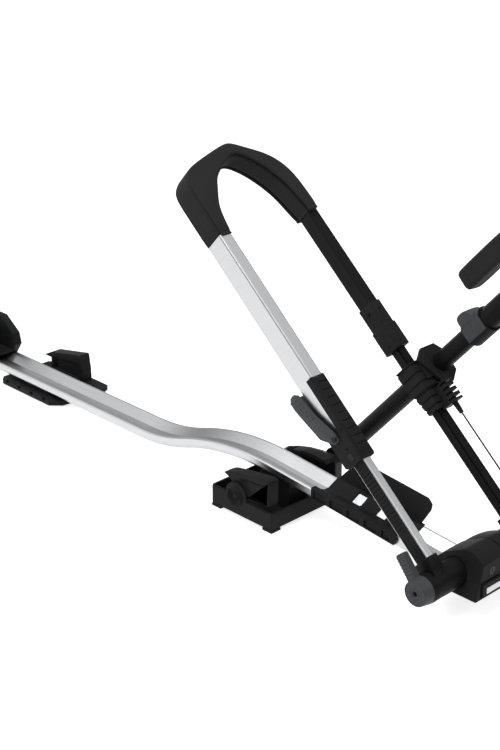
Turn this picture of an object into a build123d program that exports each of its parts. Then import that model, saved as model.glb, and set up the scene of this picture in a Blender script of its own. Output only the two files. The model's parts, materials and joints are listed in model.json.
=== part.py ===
from build123d import *
import math
import os

# Roof mounted bike carrier, in millimetres.
# +X points to the front of the car, +Y to the far side, +Z up.
# The origin lies in the plane of the soles, under the middle of the front foot.

# Fits shared by many pieces
RUN_GAP = 0.3           # between pieces that slide or turn on each other
SIDE_GAP = 0.5          # between the two arms where they pass each other
PIN_GAP = 0.05          # radial play of a pin in its hole
OVERRUN = 5.0           # how far a cutter runs past what it cuts
SKIN = 2.5              # wall of a moulded shell
TUBE_WALL = 2.0         # wall of an aluminium tube

# The two legs of the hook arm stand this far apart, and the arms pass each other beside the far one
LEG_SPACING = 222.0
NEAR_LEG_Y = -LEG_SPACING / 2
FAR_LEG_Y = LEG_SPACING / 2
PASS_REACH = 17.0
PASS_Y = FAR_LEG_Y + PASS_REACH

# Wheel tray: an extrusion bent twice
TRAY_HALF_WIDTH = 34.5
TRAY_HEIGHT = 24.0
TRAY_WALL = 2.2
TRAY_FOOT_HALF = 24.0           # half width of its flat underside
TRAY_SHOULDER = 6.0             # flat top of each rim
TRAY_GROOVE_HALF = 6.0          # half width of the middle groove
TRAY_GROOVE_DROP = 11.0         # depth of the groove floor below the rims
TRAY_UNDERSIDE = 19.5           # height of the rear underside above the soles
TRAY_REAR = -1103.0             # rear end
TRAY_BEND_START = -374.0        # where the first bend starts
TRAY_BEND_ONE = 411.0           # radius of the rising bend
TRAY_BEND_TWO = 553.0           # radius of the falling bend
TRAY_RISE = 19.5                # steepest slope, degrees
TRAY_FALL = 5.0                 # slope of the front run, degrees
TRAY_END_GAP = 2.0              # between its front end and the barrel
TRAY_SLOT_HALF = 4.5            # half width of the slot in the underside
CAP_LENGTH = 10.0
CAP_LIP = 2.0
CAP_PLUG = 24.0

# Arm barrel across the base
BARREL_X = 466.0
BARREL_Z = 69.0
BARREL_R = 26.0
BARREL_NEAR_REACH = 26.0        # barrel's ends beyond the middles of the legs
BARREL_FAR_REACH = 13.0
BARREL_NEAR = NEAR_LEG_Y - BARREL_NEAR_REACH
BARREL_FAR = FAR_LEG_Y + BARREL_FAR_REACH
BARREL_GAP = 0.1                # radial play in the housing
BARREL_BORE_R = 18.0
SHAFT_R = 8.0
BUSH_LENGTH = 16.0
TRAY_FRONT = BARREL_X - BARREL_R - TRAY_END_GAP

# Base housing
HOUSING_NEAR = -66.0
HOUSING_FAR = 80.0
HOUSING_REAR = 426.0
HOUSING_FRONT = 521.0
HOUSING_BOTTOM = 36.0
HOUSING_TOP = 114.0
HOUSING_LEAN = 20.0             # how far the near side leans in at the top
COVER_THICK = 8.0
COVER_SIDE = 14.0               # housing beside the cover
COVER_MARGIN = 5.0              # housing below the cover
COVER_HEIGHT = 26.0
PLATE_THICK = 1.2
PLATE_HEIGHT = 11.0
LOCK_R = 8.0
LOCK_DEPTH = 20.0
LOCK_Y = -25.0
LOCK_Z = 83.0
KEY_WIDTH = 1.6
KEY_HEIGHT = 8.0
KEY_DEPTH = 4.0

# Knob and lever that lock the barrel
KNOB_R = 26.0
KNOB_FACE_R = 22.5
KNOB_LENGTH = 20.0
KNOB_HOLE_R = 5.0
KNOB_HOLE_DEPTH = 6.0
LEVER_REACH = 69.0
LEVER_WIDTH = 19.0
LEVER_THICK = 13.0
LEVER_ANGLE = 129.0             # degrees from +X towards +Z
LEVER_RIB = 1.6
LEVER_RIBS = 7

# Hook arm: two legs joined by a padded hook
HOOK_ANGLE = 41.6               # degrees above the horizontal, leaning back
HOOK_OFFSET = 16.2              # legs pass this far above the barrel axis
TUBE_DEPTH = 45.0
TUBE_WIDTH = 27.0
TUBE_EDGE_R = 4.0
TUBE_START = 262.0
TUBE_END = 694.0
BAR_DEPTH = 32.0
BAR_WIDTH = 17.0
BAR_EDGE_R = 2.5
BAR_START = 22.0
BAR_END = 470.0
SOCKET_DEPTH = 38.0
SOCKET_WIDTH = 24.0
SOCKET_END = 40.0
SOCKET_WALL = 3.0
RACK_THICK = 1.2
RACK_TOOTH = 1.4
RACK_LOW = -12.5
RACK_HIGH = 13.5
RACK_TEETH = 36
RACK_PITCH = 7.5
RACK_FIRST = 96.0
RACK_LAND_SHARE = 0.62
FAR_DEPTH = 24.0
FAR_WIDTH = 17.0
FAR_GROOVE = 4.0
FAR_BAR_END = 600.0
FAR_TUBE_DEPTH = 31.0
FAR_TUBE_WIDTH = 24.0
FAR_TUBE_START = 400.0
COLLAR_START = 389.0
COLLAR_END = 486.0
COLLAR_WALL = 3.5

# Padded hook at the top of the hook arm
HOOK_PAD_HALF = 26.0            # half depth of the pad, square to the legs
HOOK_PAD_START = 690.0
HOOK_CORE_HALF = 17.0
HOOK_CORE_START = 650.0
HOOK_TOP = 866.0
HOOK_SIDE_REACH = 12.0          # pad beyond the middle of each leg
HOOK_HALF_WIDTH = FAR_LEG_Y + HOOK_SIDE_REACH
HOOK_CORE_SHARE = 0.065         # of the hook's half width
HOOK_ROUND_SHARE = 0.081
HOOK_CORE_IN = HOOK_HALF_WIDTH * HOOK_CORE_SHARE    # pad thickness round the core
HOOK_ROUND_IN = HOOK_HALF_WIDTH * HOOK_ROUND_SHARE

# Ratchet handle on the near leg
RATCHET_START = 233.0
RATCHET_END = 302.0
RATCHET_LOW = -27.0
RATCHET_HIGH = 24.5
RATCHET_SIDE = 3.2              # wall beside the tube
GRIP_START = 242.0
GRIP_END = 396.0
GRIP_LOW = 8.0
GRIP_HIGH = 27.5
GRIP_SIDE = 3.0
GRIP_BEVEL = 6.0                # slope along its two long top edges
GRIP_RIBS = 9
GRIP_RIB_DEPTH = 1.8
GRIP_RIB_WIDTH = 3.0
GUIDE_LENGTH = 24.0
RELEASE_PIVOT_S = 288.0
RELEASE_PIVOT_H = -6.0
RELEASE_END = 390.0
RELEASE_BACK = -50.0
RELEASE_CHEEK = 3.0
RELEASE_EDGE_R = 3.4
RELEASE_TRAVEL = 9.0            # degrees
SCREW_R = 3.0
SCREW_HEAD_R = 5.0
SCREW_HEAD = 2.2
PAWL_LENGTH = 14.0
PAWL_HALF = 6.5

# Clamp where the arms cross
CLAMP_START = 257.0             # lower end of its neck
CLAMP_NECK = 42.0               # from there to where the full block starts
CLAMP_BLOCK = 53.0
CLAMP_BODY = CLAMP_START + CLAMP_NECK
CLAMP_END = CLAMP_BODY + CLAMP_BLOCK
CLAMP_LOW = -18.0
CLAMP_HIGH = 27.0
CLAMP_NECK_INSET = 3.5
CLAMP_NECK_RISE = 7.0           # slope of the neck's back beside the bar
CLAMP_NEAR_REACH = 23.0         # clamp before the middle of the far leg
CLAMP_NEAR = FAR_LEG_Y - CLAMP_NEAR_REACH
CLAMP_RIBS = 3                  # in the block, and as many in the neck
CLAMP_RIB_DEPTH = 2.5
CLAMP_RIB_WIDTH = 6.0
FIN_START = 251.0
FIN_END = 292.0
FIN_LOW = 16.0
FIN_HIGH = 53.0
FIN_COUNT = 4
FIN_SLOT = 4.0
FIN_SLOT_DEPTH = 14.0
HEX_LEVEL = 31.0                # underside of the hexagonal plate above the legs' plane
HEX_THICK = 7.0
HEX_LONG = 78.0
HEX_MIDDLE_S = 327.0
HEX_NEAR_REACH = 28.0           # plate on each side of the plane between the arms
HEX_FAR_REACH = 42.0
HEX_NEAR = PASS_Y - HEX_NEAR_REACH
HEX_FAR = PASS_Y + HEX_FAR_REACH
CABLE_R = 1.5
CABLE_SIDE = 7.0                # cable beyond the middle of the far leg
CABLE_Y = FAR_LEG_Y + CABLE_SIDE
CABLE_H = 38.0
CABLE_END = 46.0
BOOT_R = 6.0
BOOT_LENGTH = 22.0
BOOT_TIP_R = 4.0
STOP_LENGTH = 14.0

# Front arm: one round tube on the far side
ARM_ANGLE = 48.3                # degrees above the horizontal, leaning forward
ARM_PIVOT_X = 19.0
ARM_PIVOT_Z = 60.0
ARM_R = 17.5
ARM_Y = PASS_Y + ARM_R + SIDE_GAP
ARM_START = 24.0
ARM_END = 600.0
ARM_EYE_R = 19.0
ARM_PIN_R = 6.0
SLEEVE_R = 21.0
SLEEVE_START = 455.0
SLEEVE_END = 760.0
BLOCK_START = 300.0
BLOCK_HALF = 30.0
COLLAR_RING_R = 25.0
COLLAR_RING_LENGTH = 52.0
CLAMP_LEVER_INSET = 10.0        # its pin from the collar's lower end
CLAMP_LEVER_LENGTH = 42.0
CLAMP_LEVER_WIDTH = 26.0
CLAMP_LEVER_THICK = 11.0
LUG_HALF = 6.0
LUG_WIDTH = 12.0
LEVER_PIN_R = 3.0

# Padded hook at the top of the front arm
J_FREE_Y = -75.0                # middle of the free leg
J_FREE_RISE = 15.0              # the free leg stands this far behind the tube
J_HALF = 17.5                   # half width of the pad's section
J_CORE_HALF = 8.0
J_TOP = 845.0                   # middle of the crossing run, from the arm pivot
J_FREE_LENGTH = 145.0           # free leg below the crossing run
J_FREE_END = J_TOP - J_FREE_LENGTH
J_BEND_R = 44.0
J_CORE_START = 700.0

# Front foot
FOOT_REAR = -85.0
FOOT_FRONT = 75.0
FOOT_NEAR = -96.0
FOOT_FAR = 98.0
FOOT_WALL = 4.0
FOOT_FLOOR = 6.0
FOOT_RIM = 45.0
SOLE_THICK = 5.0
SOLE_SIZE = 24.0
FOOT_FRONT_RIM = 40.0
BOSS_X = -20.0
BOSS_Z = 43.0
BOSS_R = 28.0
BOSS_RING_R = 18.0
BOSS_HUB_R = 8.0
BOSS_STEP = 2.0
SADDLE_HALF_X = 40.0            # block that carries the tray on the foot
SADDLE_MIDDLE_X = 10.0
JAW_NEAR = -90.0
JAW_FAR = -64.0
JAW_TIP_X = -60.0
JAW_FRONT_X = 62.0
JAW_TOP = 100.0
JAW_TIP_Z = 79.0
JAW_FOOT_Z = 47.0
JAW_PIN_R = 5.0
BRACKET_NEAR = 76.0
BRACKET_TOP = 83.0
BRACKET_REAR = -86.0
BRACKET_FRONT = 54.0

# Rear foot
REAR_PLATE_REAR = -836.0
REAR_PLATE_FRONT = -625.0
REAR_PLATE_NEAR = -44.0
REAR_PLATE_FAR = 103.0
REAR_PLATE_THICK = 11.0
REAR_SOLE_THICK = 3.0
CLAW_REAR = -797.0
CLAW_FRONT = -690.0
CLAW_TIP = -822.0
CLAW_NEAR = 72.0
CLAW_FAR = 98.0
CLAW_TOP_REAR = 55.0
CLAW_TOP_FRONT = 76.0
CLAW_MOUTH_LOW = 17.0
CLAW_MOUTH_HIGH = 41.0
CLAW_TRAVEL = 16.5
GUIDE_REAR_INSET = 27.0         # guide rib on the plate, under the claw
GUIDE_FRONT_INSET = 10.0
GUIDE_REAR = CLAW_REAR + GUIDE_REAR_INSET
GUIDE_FRONT = CLAW_FRONT - GUIDE_FRONT_INSET
GUIDE_Y = 88.0
GUIDE_HALF = 4.0
GUIDE_HEIGHT = 8.0
BOLT_HOLE_R = 3.25
BOLT_HOLE_Y = 76.0
BOLT_HOLE_X = -655.0
RAIL_LENGTH = 90.0

# Front wheel cradle
CRADLE_REAR = 120.0
CRADLE_FRONT = 326.0
CRADLE_THICK = 3.0
RAIL_HEIGHT = 22.0
RAIL_THICK = 6.0
RAIL_OVER = 7.0
RAIL_POCKETS = 5
WING_THICK = 4.0
WING_LEAN = 14.0                # degrees outwards
WING_HIGH = 52.0
WING_ROUND = 5.0
WINDOW_LENGTH = 22.0
WINDOW_WIDTH = 24.0
WINDOW_Y = 13.0

# Rear wheel holder
HOLDER_FRONT = -862.0
HOLDER_LENGTH = 150.0
HOLDER_HALF = 41.0
HOLDER_WALL = 4.0
HOLDER_SKIRT = 30.0             # lower edge of its skirts
HOLDER_TOP = 122.0
HOLDER_NOSE_Z = 66.0
HOLDER_CHANNEL_HALF = 22.0
STRAP_WIDTH = 25.0
STRAP_THICK = 3.0
STRAP_HALF = 31.0
STRAP_HIGH = 96.0
STRAP_PLACE_SHARE = 0.66        # along the holder, from its front
BUCKLE_LENGTH = 46.0
BUCKLE_WIDTH = 31.0
BUCKLE_THICK = 9.0
BUCKLE_PIN_R = 1.5

os.makedirs("parts", exist_ok=True)


def block(x0, x1, y0, y1, z0, z1):
    """A box between two corners."""
    size = Box(x1 - x0, y1 - y0, z1 - z0)
    return Pos((x0 + x1) / 2, (y0 + y1) / 2, (z0 + z1) / 2) * size


def rod_y(x, z, r, y0, y1):
    """A round bar along Y."""
    return Pos(x, (y0 + y1) / 2, z) * Rot(90, 0, 0) * Cylinder(r, y1 - y0)


def rod_x(y, z, r, x0, x1):
    """A round bar along X."""
    return Pos((x0 + x1) / 2, y, z) * Rot(0, 90, 0) * Cylinder(r, x1 - x0)


def outline(points, radius=0):
    """A flat face inside straight edges, with its corners rounded alike."""
    face = make_face(Polyline(*points, close=True))
    if radius > 0:
        face = fillet(face.vertices(), radius)
    return face


def side_plate(points, y0, y1, radius=0):
    """An outline drawn in X and Z, pulled along Y."""
    face = Plane(origin=(0, y1, 0), x_dir=(1, 0, 0), z_dir=(0, -1, 0)) * outline(points, radius)
    return extrude(face, y1 - y0)


def front_plate(points, x0, x1, radius=0):
    """An outline drawn in Y and Z, pulled along X."""
    face = Plane(origin=(x0, 0, 0), x_dir=(0, 1, 0), z_dir=(1, 0, 0)) * outline(points, radius)
    return extrude(face, x1 - x0)


def on_side(points, y0, y1, radius=0):
    """The same outline in a frame whose third axis is Y."""
    return Pos(0, 0, y0) * extrude(outline(points, radius), y1 - y0)


def save(part, name):
    """Write one node's file."""
    solids = part.solids() if hasattr(part, "solids") else [part]
    shape = solids[0] if len(solids) == 1 else Compound(children=solids)
    export_step(shape, os.path.join("parts", name + ".step"))


# The legs' own frame: along the legs, square to them and upwards, then Y
hook_slope = math.radians(HOOK_ANGLE)
LEG_DIR = Vector(-math.cos(hook_slope), 0, math.sin(hook_slope))
LEG_UP = Vector(math.sin(hook_slope), 0, math.cos(hook_slope))
BARREL = Vector(BARREL_X, 0, BARREL_Z)
LEG = Plane(origin=BARREL + LEG_UP * HOOK_OFFSET, x_dir=LEG_DIR, z_dir=(0, 1, 0))
LEG_FACE = Plane(origin=LEG.origin, x_dir=LEG_DIR, z_dir=-LEG_UP)

# The front arm's own frame: along the tube, square to it and backwards, then -Y
arm_slope = math.radians(ARM_ANGLE)
ARM_DIR = Vector(math.cos(arm_slope), 0, math.sin(arm_slope))
ARM_BACK = Vector(-math.sin(arm_slope), 0, math.cos(arm_slope))
ARM_PIVOT = Vector(ARM_PIVOT_X, 0, ARM_PIVOT_Z)
ARM = Plane(origin=ARM_PIVOT, x_dir=ARM_DIR, z_dir=(0, -1, 0))


def leg_block(s0, s1, h0, h1, y0, y1):
    """A box in the legs' frame."""
    return LEG.location * block(s0, s1, h0, h1, y0, y1)


def leg_bar(s0, s1, depth, width, y, radius):
    """A bar along a leg, with rounded long edges."""
    face = fillet(Rectangle(depth, width).vertices(), radius)
    start = Plane(origin=(s0, 0, y), x_dir=(0, 1, 0), z_dir=(1, 0, 0))
    return LEG.location * extrude(start * face, s1 - s0)


def leg_run(points, s0, s1, y):
    """An outline drawn square to a leg, pulled along it."""
    start = Plane(origin=(s0, 0, y), x_dir=(0, 1, 0), z_dir=(1, 0, 0))
    return LEG.location * extrude(start * outline(points), s1 - s0)


def leg_side(points, y0, y1, radius=0):
    """An outline drawn along and square to the legs, pulled along Y."""
    return LEG.location * on_side(points, y0, y1, radius)


def arm_side(points, y0, y1, radius=0):
    """An outline drawn along and square to the front arm, pulled along Y."""
    return ARM.location * on_side(points, -y1, -y0, radius)


def arm_rod(t0, t1, r, y=ARM_Y, back=0):
    """A round bar along the front arm."""
    bar = Pos((t0 + t1) / 2, back, -y) * Rot(0, 90, 0) * Cylinder(r, t1 - t0)
    return ARM.location * bar


# Wheel tray

def tray_path(lift=0):
    """The bent line of the tray's underside, raised by a given height."""
    z = TRAY_UNDERSIDE + lift
    rise = math.radians(TRAY_RISE)
    fall = math.radians(TRAY_FALL)
    r1 = TRAY_BEND_ONE - lift
    r2 = TRAY_BEND_TWO + lift
    x1 = TRAY_BEND_START
    x2 = x1 + r1 * math.sin(rise)
    z2 = z + r1 * (1 - math.cos(rise))
    middle_x = x2 + r2 * math.sin(rise)
    middle_z = z2 - r2 * math.cos(rise)
    x3 = middle_x + r2 * math.sin(fall)
    z3 = middle_z + r2 * math.cos(fall)
    run = TRAY_FRONT - x3
    rear = Line((TRAY_REAR, 0, z), (x1, 0, z))
    half = rise / 2
    up = ThreePointArc((x1, 0, z), (x1 + r1 * math.sin(half), 0, z + r1 * (1 - math.cos(half))),
                       (x2, 0, z2))
    turn = (rise - fall) / 2
    over = ThreePointArc((x2, 0, z2),
                         (middle_x - r2 * math.sin(turn), 0, middle_z + r2 * math.cos(turn)),
                         (x3, 0, z3))
    front = Line((x3, 0, z3), (TRAY_FRONT, 0, z3 - run * math.tan(fall)))
    return [rear, up, over, front], (x3, z3)


TRAY_LINES, TRAY_CREST = tray_path()
FALL_TAN = math.tan(math.radians(TRAY_FALL))


def tray_base_z(x):
    """Height of the front run's underside at a given X."""
    return TRAY_CREST[1] - (x - TRAY_CREST[0]) * FALL_TAN


def tray_rim_z(x):
    """Height of the front run's rims at a given X."""
    return tray_base_z(x) + TRAY_HEIGHT / math.cos(math.radians(TRAY_FALL))


def tray_hollow():
    """The closed space inside the tray's section."""
    w = TRAY_HALF_WIDTH
    t = TRAY_WALL
    flank = w - TRAY_FOOT_HALF
    low = TRAY_HEIGHT - TRAY_GROOVE_DROP - t
    half = [(0, t), (TRAY_FOOT_HALF - t / 2, t), (w - t, flank + t / 2), (w - t, TRAY_HEIGHT - t),
            (w - TRAY_SHOULDER, TRAY_HEIGHT - t), (TRAY_GROOVE_HALF, low), (0, low)]
    return outline(half + [(-x, y) for x, y in reversed(half[1:-1])])


def tray_section():
    """The tray's hollow section, with its slot underneath."""
    w = TRAY_HALF_WIDTH
    top = TRAY_HEIGHT
    low = TRAY_HEIGHT - TRAY_GROOVE_DROP
    half = [(0, 0), (TRAY_FOOT_HALF, 0), (w, w - TRAY_FOOT_HALF), (w, top - TRAY_WALL),
            (w - TRAY_WALL, top), (w - TRAY_SHOULDER, top), (TRAY_GROOVE_HALF, low), (0, low)]
    outer_face = outline(half + [(-x, y) for x, y in reversed(half[1:-1])])
    slot = Rectangle(2 * TRAY_SLOT_HALF, 2 * TRAY_WALL + OVERRUN)
    return outer_face - tray_hollow() - slot


section_plane = Plane(origin=(TRAY_REAR, 0, TRAY_UNDERSIDE), x_dir=(0, -1, 0), z_dir=(-1, 0, 0))
tray = sweep(section_plane * tray_section(), path=Wire(TRAY_LINES))
save(tray, "wheel_tray")


def tray_cap():
    """End cap with a plug that fills the tray's rear end."""
    w = TRAY_HALF_WIDTH + CAP_LIP / 2
    low = TRAY_UNDERSIDE - CAP_LIP / 2
    high = TRAY_UNDERSIDE + TRAY_HEIGHT + CAP_LIP
    face = outline([(-w, low), (w, low), (w, high), (-w, high)], TRAY_SHOULDER)
    plane = Plane(origin=(TRAY_REAR, 0, 0), x_dir=(0, 1, 0), z_dir=(1, 0, 0))
    cap = extrude(plane * face, -CAP_LENGTH)
    notch = block(TRAY_REAR - CAP_LENGTH - OVERRUN, TRAY_REAR + OVERRUN,
                  -TRAY_GROOVE_HALF, TRAY_GROOVE_HALF,
                  high - TRAY_GROOVE_DROP - CAP_LIP, high + OVERRUN)
    plug = extrude(section_plane * tray_hollow(), -CAP_PLUG)
    return (cap - notch) + plug


save(tray_cap(), "tray_rear_cap")


# Base housing, its cover and the shaft

# Line of the crown, as shares of the housing's length and height
HOUSING_CROWN_SHARES = [(0.0, 0.60), (0.22, 0.795), (0.42, 0.91), (0.61, 1.0), (0.82, 0.955), (1.0, 0.82)]
# Height of the two crowns across the housing, as shares of its width and height
HOUSING_NEAR_SHARES = [(0.0, 0.97), (0.144, 1.01), (0.315, 1.03), (0.507, 1.02)]
HOUSING_FAR_SHARES = [(0.548, 0.98), (0.63, 1.0), (0.76, 0.99), (0.877, 0.94), (0.945, 0.89), (1.0, 0.82)]
HOUSING_GROOVE_SHARE = 0.92     # height of the groove between the crowns


def housing_section(across, high):
    """The housing's side view at a share of its width, with a share of its height."""
    length = HOUSING_FRONT - HOUSING_REAR
    height = (HOUSING_TOP - HOUSING_BOTTOM) * high
    crown = [(HOUSING_REAR + a * length, HOUSING_BOTTOM + b * height)
             for a, b in HOUSING_CROWN_SHARES]
    front = (HOUSING_FRONT, HOUSING_BOTTOM)
    rear = (HOUSING_REAR, HOUSING_BOTTOM)
    y = HOUSING_NEAR + across * (HOUSING_FAR - HOUSING_NEAR)
    plane = Plane(origin=(0, y, 0), x_dir=(1, 0, 0), z_dir=(0, -1, 0))
    lines = [Spline(*crown), Line(crown[-1], front), Line(front, rear), Line(rear, crown[0])]
    return plane * make_face(Curve() + lines)


def housing_hull():
    """Two domed crowns with a groove between them and a leaning near side."""
    near = loft([housing_section(across, high) for across, high in HOUSING_NEAR_SHARES])
    far = loft([housing_section(across, high) for across, high in HOUSING_FAR_SHARES])
    start = HOUSING_NEAR_SHARES[-1][0]
    end = HOUSING_FAR_SHARES[0][0]
    groove = extrude(housing_section(end, HOUSING_GROOVE_SHARE),
                     (end - start) * (HOUSING_FAR - HOUSING_NEAR))
    above = 2 * HOUSING_TOP - HOUSING_BOTTOM
    lean = front_plate([(HOUSING_NEAR, HOUSING_BOTTOM), (HOUSING_NEAR + 2 * HOUSING_LEAN, above),
                        (HOUSING_NEAR - OVERRUN, above), (HOUSING_NEAR - OVERRUN, HOUSING_BOTTOM)],
                       HOUSING_REAR - OVERRUN, HOUSING_FRONT + OVERRUN)
    return near + groove + far - lean


def tray_solid_hull(gap):
    """The space that the tray's front end takes, with a gap all round."""
    rear_x = HOUSING_REAR - OVERRUN
    front_x = TRAY_FRONT + TRAY_HEIGHT * FALL_TAN + gap
    points = [(rear_x, tray_base_z(rear_x) - gap), (front_x, tray_base_z(front_x) - gap),
              (front_x, tray_rim_z(front_x) + gap), (rear_x, tray_rim_z(rear_x) + gap)]
    return side_plate(points, -TRAY_HALF_WIDTH - gap, TRAY_HALF_WIDTH + gap)


def base_housing():
    """One moulded shell round the barrel, open for the tray and the cover."""
    barrel = rod_y(BARREL_X, BARREL_Z, BARREL_R + BARREL_GAP,
                   HOUSING_NEAR - OVERRUN, HOUSING_FAR + OVERRUN)
    pocket = block(BARREL_X + BARREL_R + SKIN, HOUSING_FRONT - SKIN,
                   HOUSING_NEAR + HOUSING_LEAN + SKIN, HOUSING_FAR - COVER_SIDE - 2 * SKIN,
                   HOUSING_BOTTOM + SKIN, BARREL_Z - SKIN)
    return housing_hull() - barrel - tray_solid_hull(0) - pocket - front_cover_space() - lock_space()


def front_cover_space():
    """The recess in the housing's front face that the cover fills."""
    low = HOUSING_BOTTOM + COVER_MARGIN
    return block(HOUSING_FRONT - COVER_THICK, HOUSING_FRONT + OVERRUN,
                 HOUSING_NEAR + COVER_SIDE, HOUSING_FAR - COVER_SIDE, low, low + COVER_HEIGHT)


def front_cover():
    """Flat cover on the front face, with a recess for the bare plate."""
    slack = RUN_GAP / 2
    low = HOUSING_BOTTOM + COVER_MARGIN
    cover = block(HOUSING_FRONT - COVER_THICK, HOUSING_FRONT + COVER_THICK / 2,
                  HOUSING_NEAR + COVER_SIDE + slack, HOUSING_FAR - COVER_SIDE - slack,
                  low + slack, low + COVER_HEIGHT - slack)
    cover = fillet(cover.faces().sort_by(Axis.X)[-1].edges(), COVER_THICK / 4)
    return cover - name_plate()


def name_plate():
    """Bare metal strip let into the cover."""
    front = HOUSING_FRONT + COVER_THICK / 2
    low = HOUSING_BOTTOM + 2 * COVER_MARGIN
    return block(front - PLATE_THICK, front,
                 HOUSING_NEAR + COVER_SIDE + 2 * COVER_MARGIN,
                 HOUSING_FAR - COVER_SIDE - 2 * COVER_MARGIN,
                 low, low + PLATE_HEIGHT)


def lock_space():
    """The hole for the lock in the housing's front."""
    return rod_x(LOCK_Y, LOCK_Z, LOCK_R + PIN_GAP, HOUSING_FRONT - LOCK_DEPTH - SKIN,
                 HOUSING_FRONT + OVERRUN)


def lock_cylinder():
    """Key lock with its keyway."""
    plug = rod_x(LOCK_Y, LOCK_Z, LOCK_R, HOUSING_FRONT - LOCK_DEPTH - SKIN, HOUSING_FRONT)
    way = block(HOUSING_FRONT - KEY_DEPTH, HOUSING_FRONT + OVERRUN,
                LOCK_Y - KEY_WIDTH / 2, LOCK_Y + KEY_WIDTH / 2,
                LOCK_Z - KEY_HEIGHT / 2, LOCK_Z + KEY_HEIGHT / 2)
    return plug - way


save(base_housing(), "base_housing")
save(front_cover(), "front_cover")
save(name_plate(), "bare_plate")
save(lock_cylinder(), "lock_cylinder")

SHAFT_NEAR = BARREL_NEAR - KNOB_LENGTH + KNOB_HOLE_DEPTH
shaft = rod_y(BARREL_X, BARREL_Z, SHAFT_R, SHAFT_NEAR, BARREL_FAR - RUN_GAP)
save(shaft, "pivot_shaft")


def bush(y0):
    """Spacer bush that centres the shaft in the barrel."""
    ring = rod_y(BARREL_X, BARREL_Z, BARREL_BORE_R, y0, y0 + BUSH_LENGTH)
    return ring - rod_y(BARREL_X, BARREL_Z, SHAFT_R, y0 - OVERRUN, y0 + BUSH_LENGTH + OVERRUN)


bush_places = [BARREL_NEAR + RUN_GAP, (HOUSING_NEAR + HOUSING_FAR) / 2 - BUSH_LENGTH / 2,
               BARREL_FAR - BUSH_LENGTH - RUN_GAP]
save(Compound(children=[bush(y) for y in bush_places]), "pivot_bushes")


# Hook arm: barrel, bars and rack

def leg_socket(y):
    """Cast socket that ties a leg to the barrel."""
    half = SOCKET_DEPTH / 2
    reach = BARREL_R * math.sin(math.radians(60))
    points = [(-reach, -HOOK_OFFSET), (reach, -HOOK_OFFSET), (SOCKET_END, -half + SOCKET_WALL),
              (SOCKET_END, half), (BAR_START - SOCKET_WALL, half), (-reach / 2, half / 2)]
    return leg_side(points, y - SOCKET_WIDTH / 2, y + SOCKET_WIDTH / 2, SOCKET_WALL / 2)


def arm_barrel():
    """Barrel with the two leg sockets and the cable stop's ear, one casting."""
    tube = rod_y(BARREL_X, BARREL_Z, BARREL_R, BARREL_NEAR, BARREL_FAR)
    body = tube + leg_socket(NEAR_LEG_Y) + leg_socket(FAR_LEG_Y)
    ear = leg_block(CABLE_END - STOP_LENGTH, CABLE_END - RUN_GAP, SOCKET_DEPTH / 2 - SOCKET_WALL,
                    CABLE_H + BOOT_TIP_R, CABLE_Y - BOOT_TIP_R, CABLE_Y + BOOT_TIP_R)
    body += ear
    body -= rod_y(BARREL_X, BARREL_Z, BARREL_BORE_R, BARREL_NEAR - OVERRUN, BARREL_FAR + OVERRUN)
    body -= leg_bar(BAR_START, SOCKET_END + OVERRUN, BAR_DEPTH, BAR_WIDTH, NEAR_LEG_Y, BAR_EDGE_R)
    body -= leg_bar(BAR_START, SOCKET_END + OVERRUN, FAR_DEPTH, FAR_WIDTH, FAR_LEG_Y, BAR_EDGE_R)
    body -= rod_y(BARREL_X, BARREL_Z, BARREL_BORE_R, BARREL_NEAR - OVERRUN, BARREL_FAR + OVERRUN)
    return body - leg_rod(0, CABLE_END + OVERRUN, CABLE_R, CABLE_H, CABLE_Y)


def leg_rod(s0, s1, r, h, y):
    """A round bar along a leg."""
    return LEG.location * Pos((s0 + s1) / 2, h, y) * Rot(0, 90, 0) * Cylinder(r, s1 - s0)


save(arm_barrel(), "arm_barrel")

near_bar = leg_bar(BAR_START, BAR_END, BAR_DEPTH, BAR_WIDTH, NEAR_LEG_Y, BAR_EDGE_R)
near_bar -= leg_bar(SOCKET_END + OVERRUN, BAR_END + OVERRUN, BAR_DEPTH - 2 * TUBE_WALL,
                    BAR_WIDTH - 2 * TUBE_WALL, NEAR_LEG_Y, BAR_EDGE_R / 2)
save(near_bar, "near_lower_bar")


def ratchet_rack():
    """Toothed strip on the near face of the lower bar."""
    face = NEAR_LEG_Y - BAR_WIDTH / 2
    strip = leg_block(SOCKET_END + RUN_GAP, BAR_END, RACK_LOW, RACK_HIGH, face - RACK_THICK, face)
    land = RACK_PITCH * RACK_LAND_SHARE
    for i in range(RACK_TEETH):
        s = RACK_FIRST + i * RACK_PITCH
        strip += leg_block(s, s + land, RACK_LOW + SKIN, RACK_HIGH, face - RACK_THICK - RACK_TOOTH,
                           face - RACK_THICK)
    return strip


save(ratchet_rack(), "ratchet_rack")


def far_lower_bar():
    """Slim far bar with a groove along its two visible arrises."""
    bar = leg_bar(BAR_START, FAR_BAR_END, FAR_DEPTH, FAR_WIDTH, FAR_LEG_Y, BAR_EDGE_R)
    for side in (-1, 1):
        y = FAR_LEG_Y + side * FAR_WIDTH / 2
        h = FAR_DEPTH / 2 - FAR_GROOVE
        bar -= leg_block(SOCKET_END, FAR_BAR_END + OVERRUN, h - FAR_GROOVE / 2, h + FAR_GROOVE / 2,
                         y - FAR_GROOVE / 2, y + FAR_GROOVE / 2)
    return bar


save(far_lower_bar(), "far_lower_bar")


# Clamp at the crossing, on the hook arm's side

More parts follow.
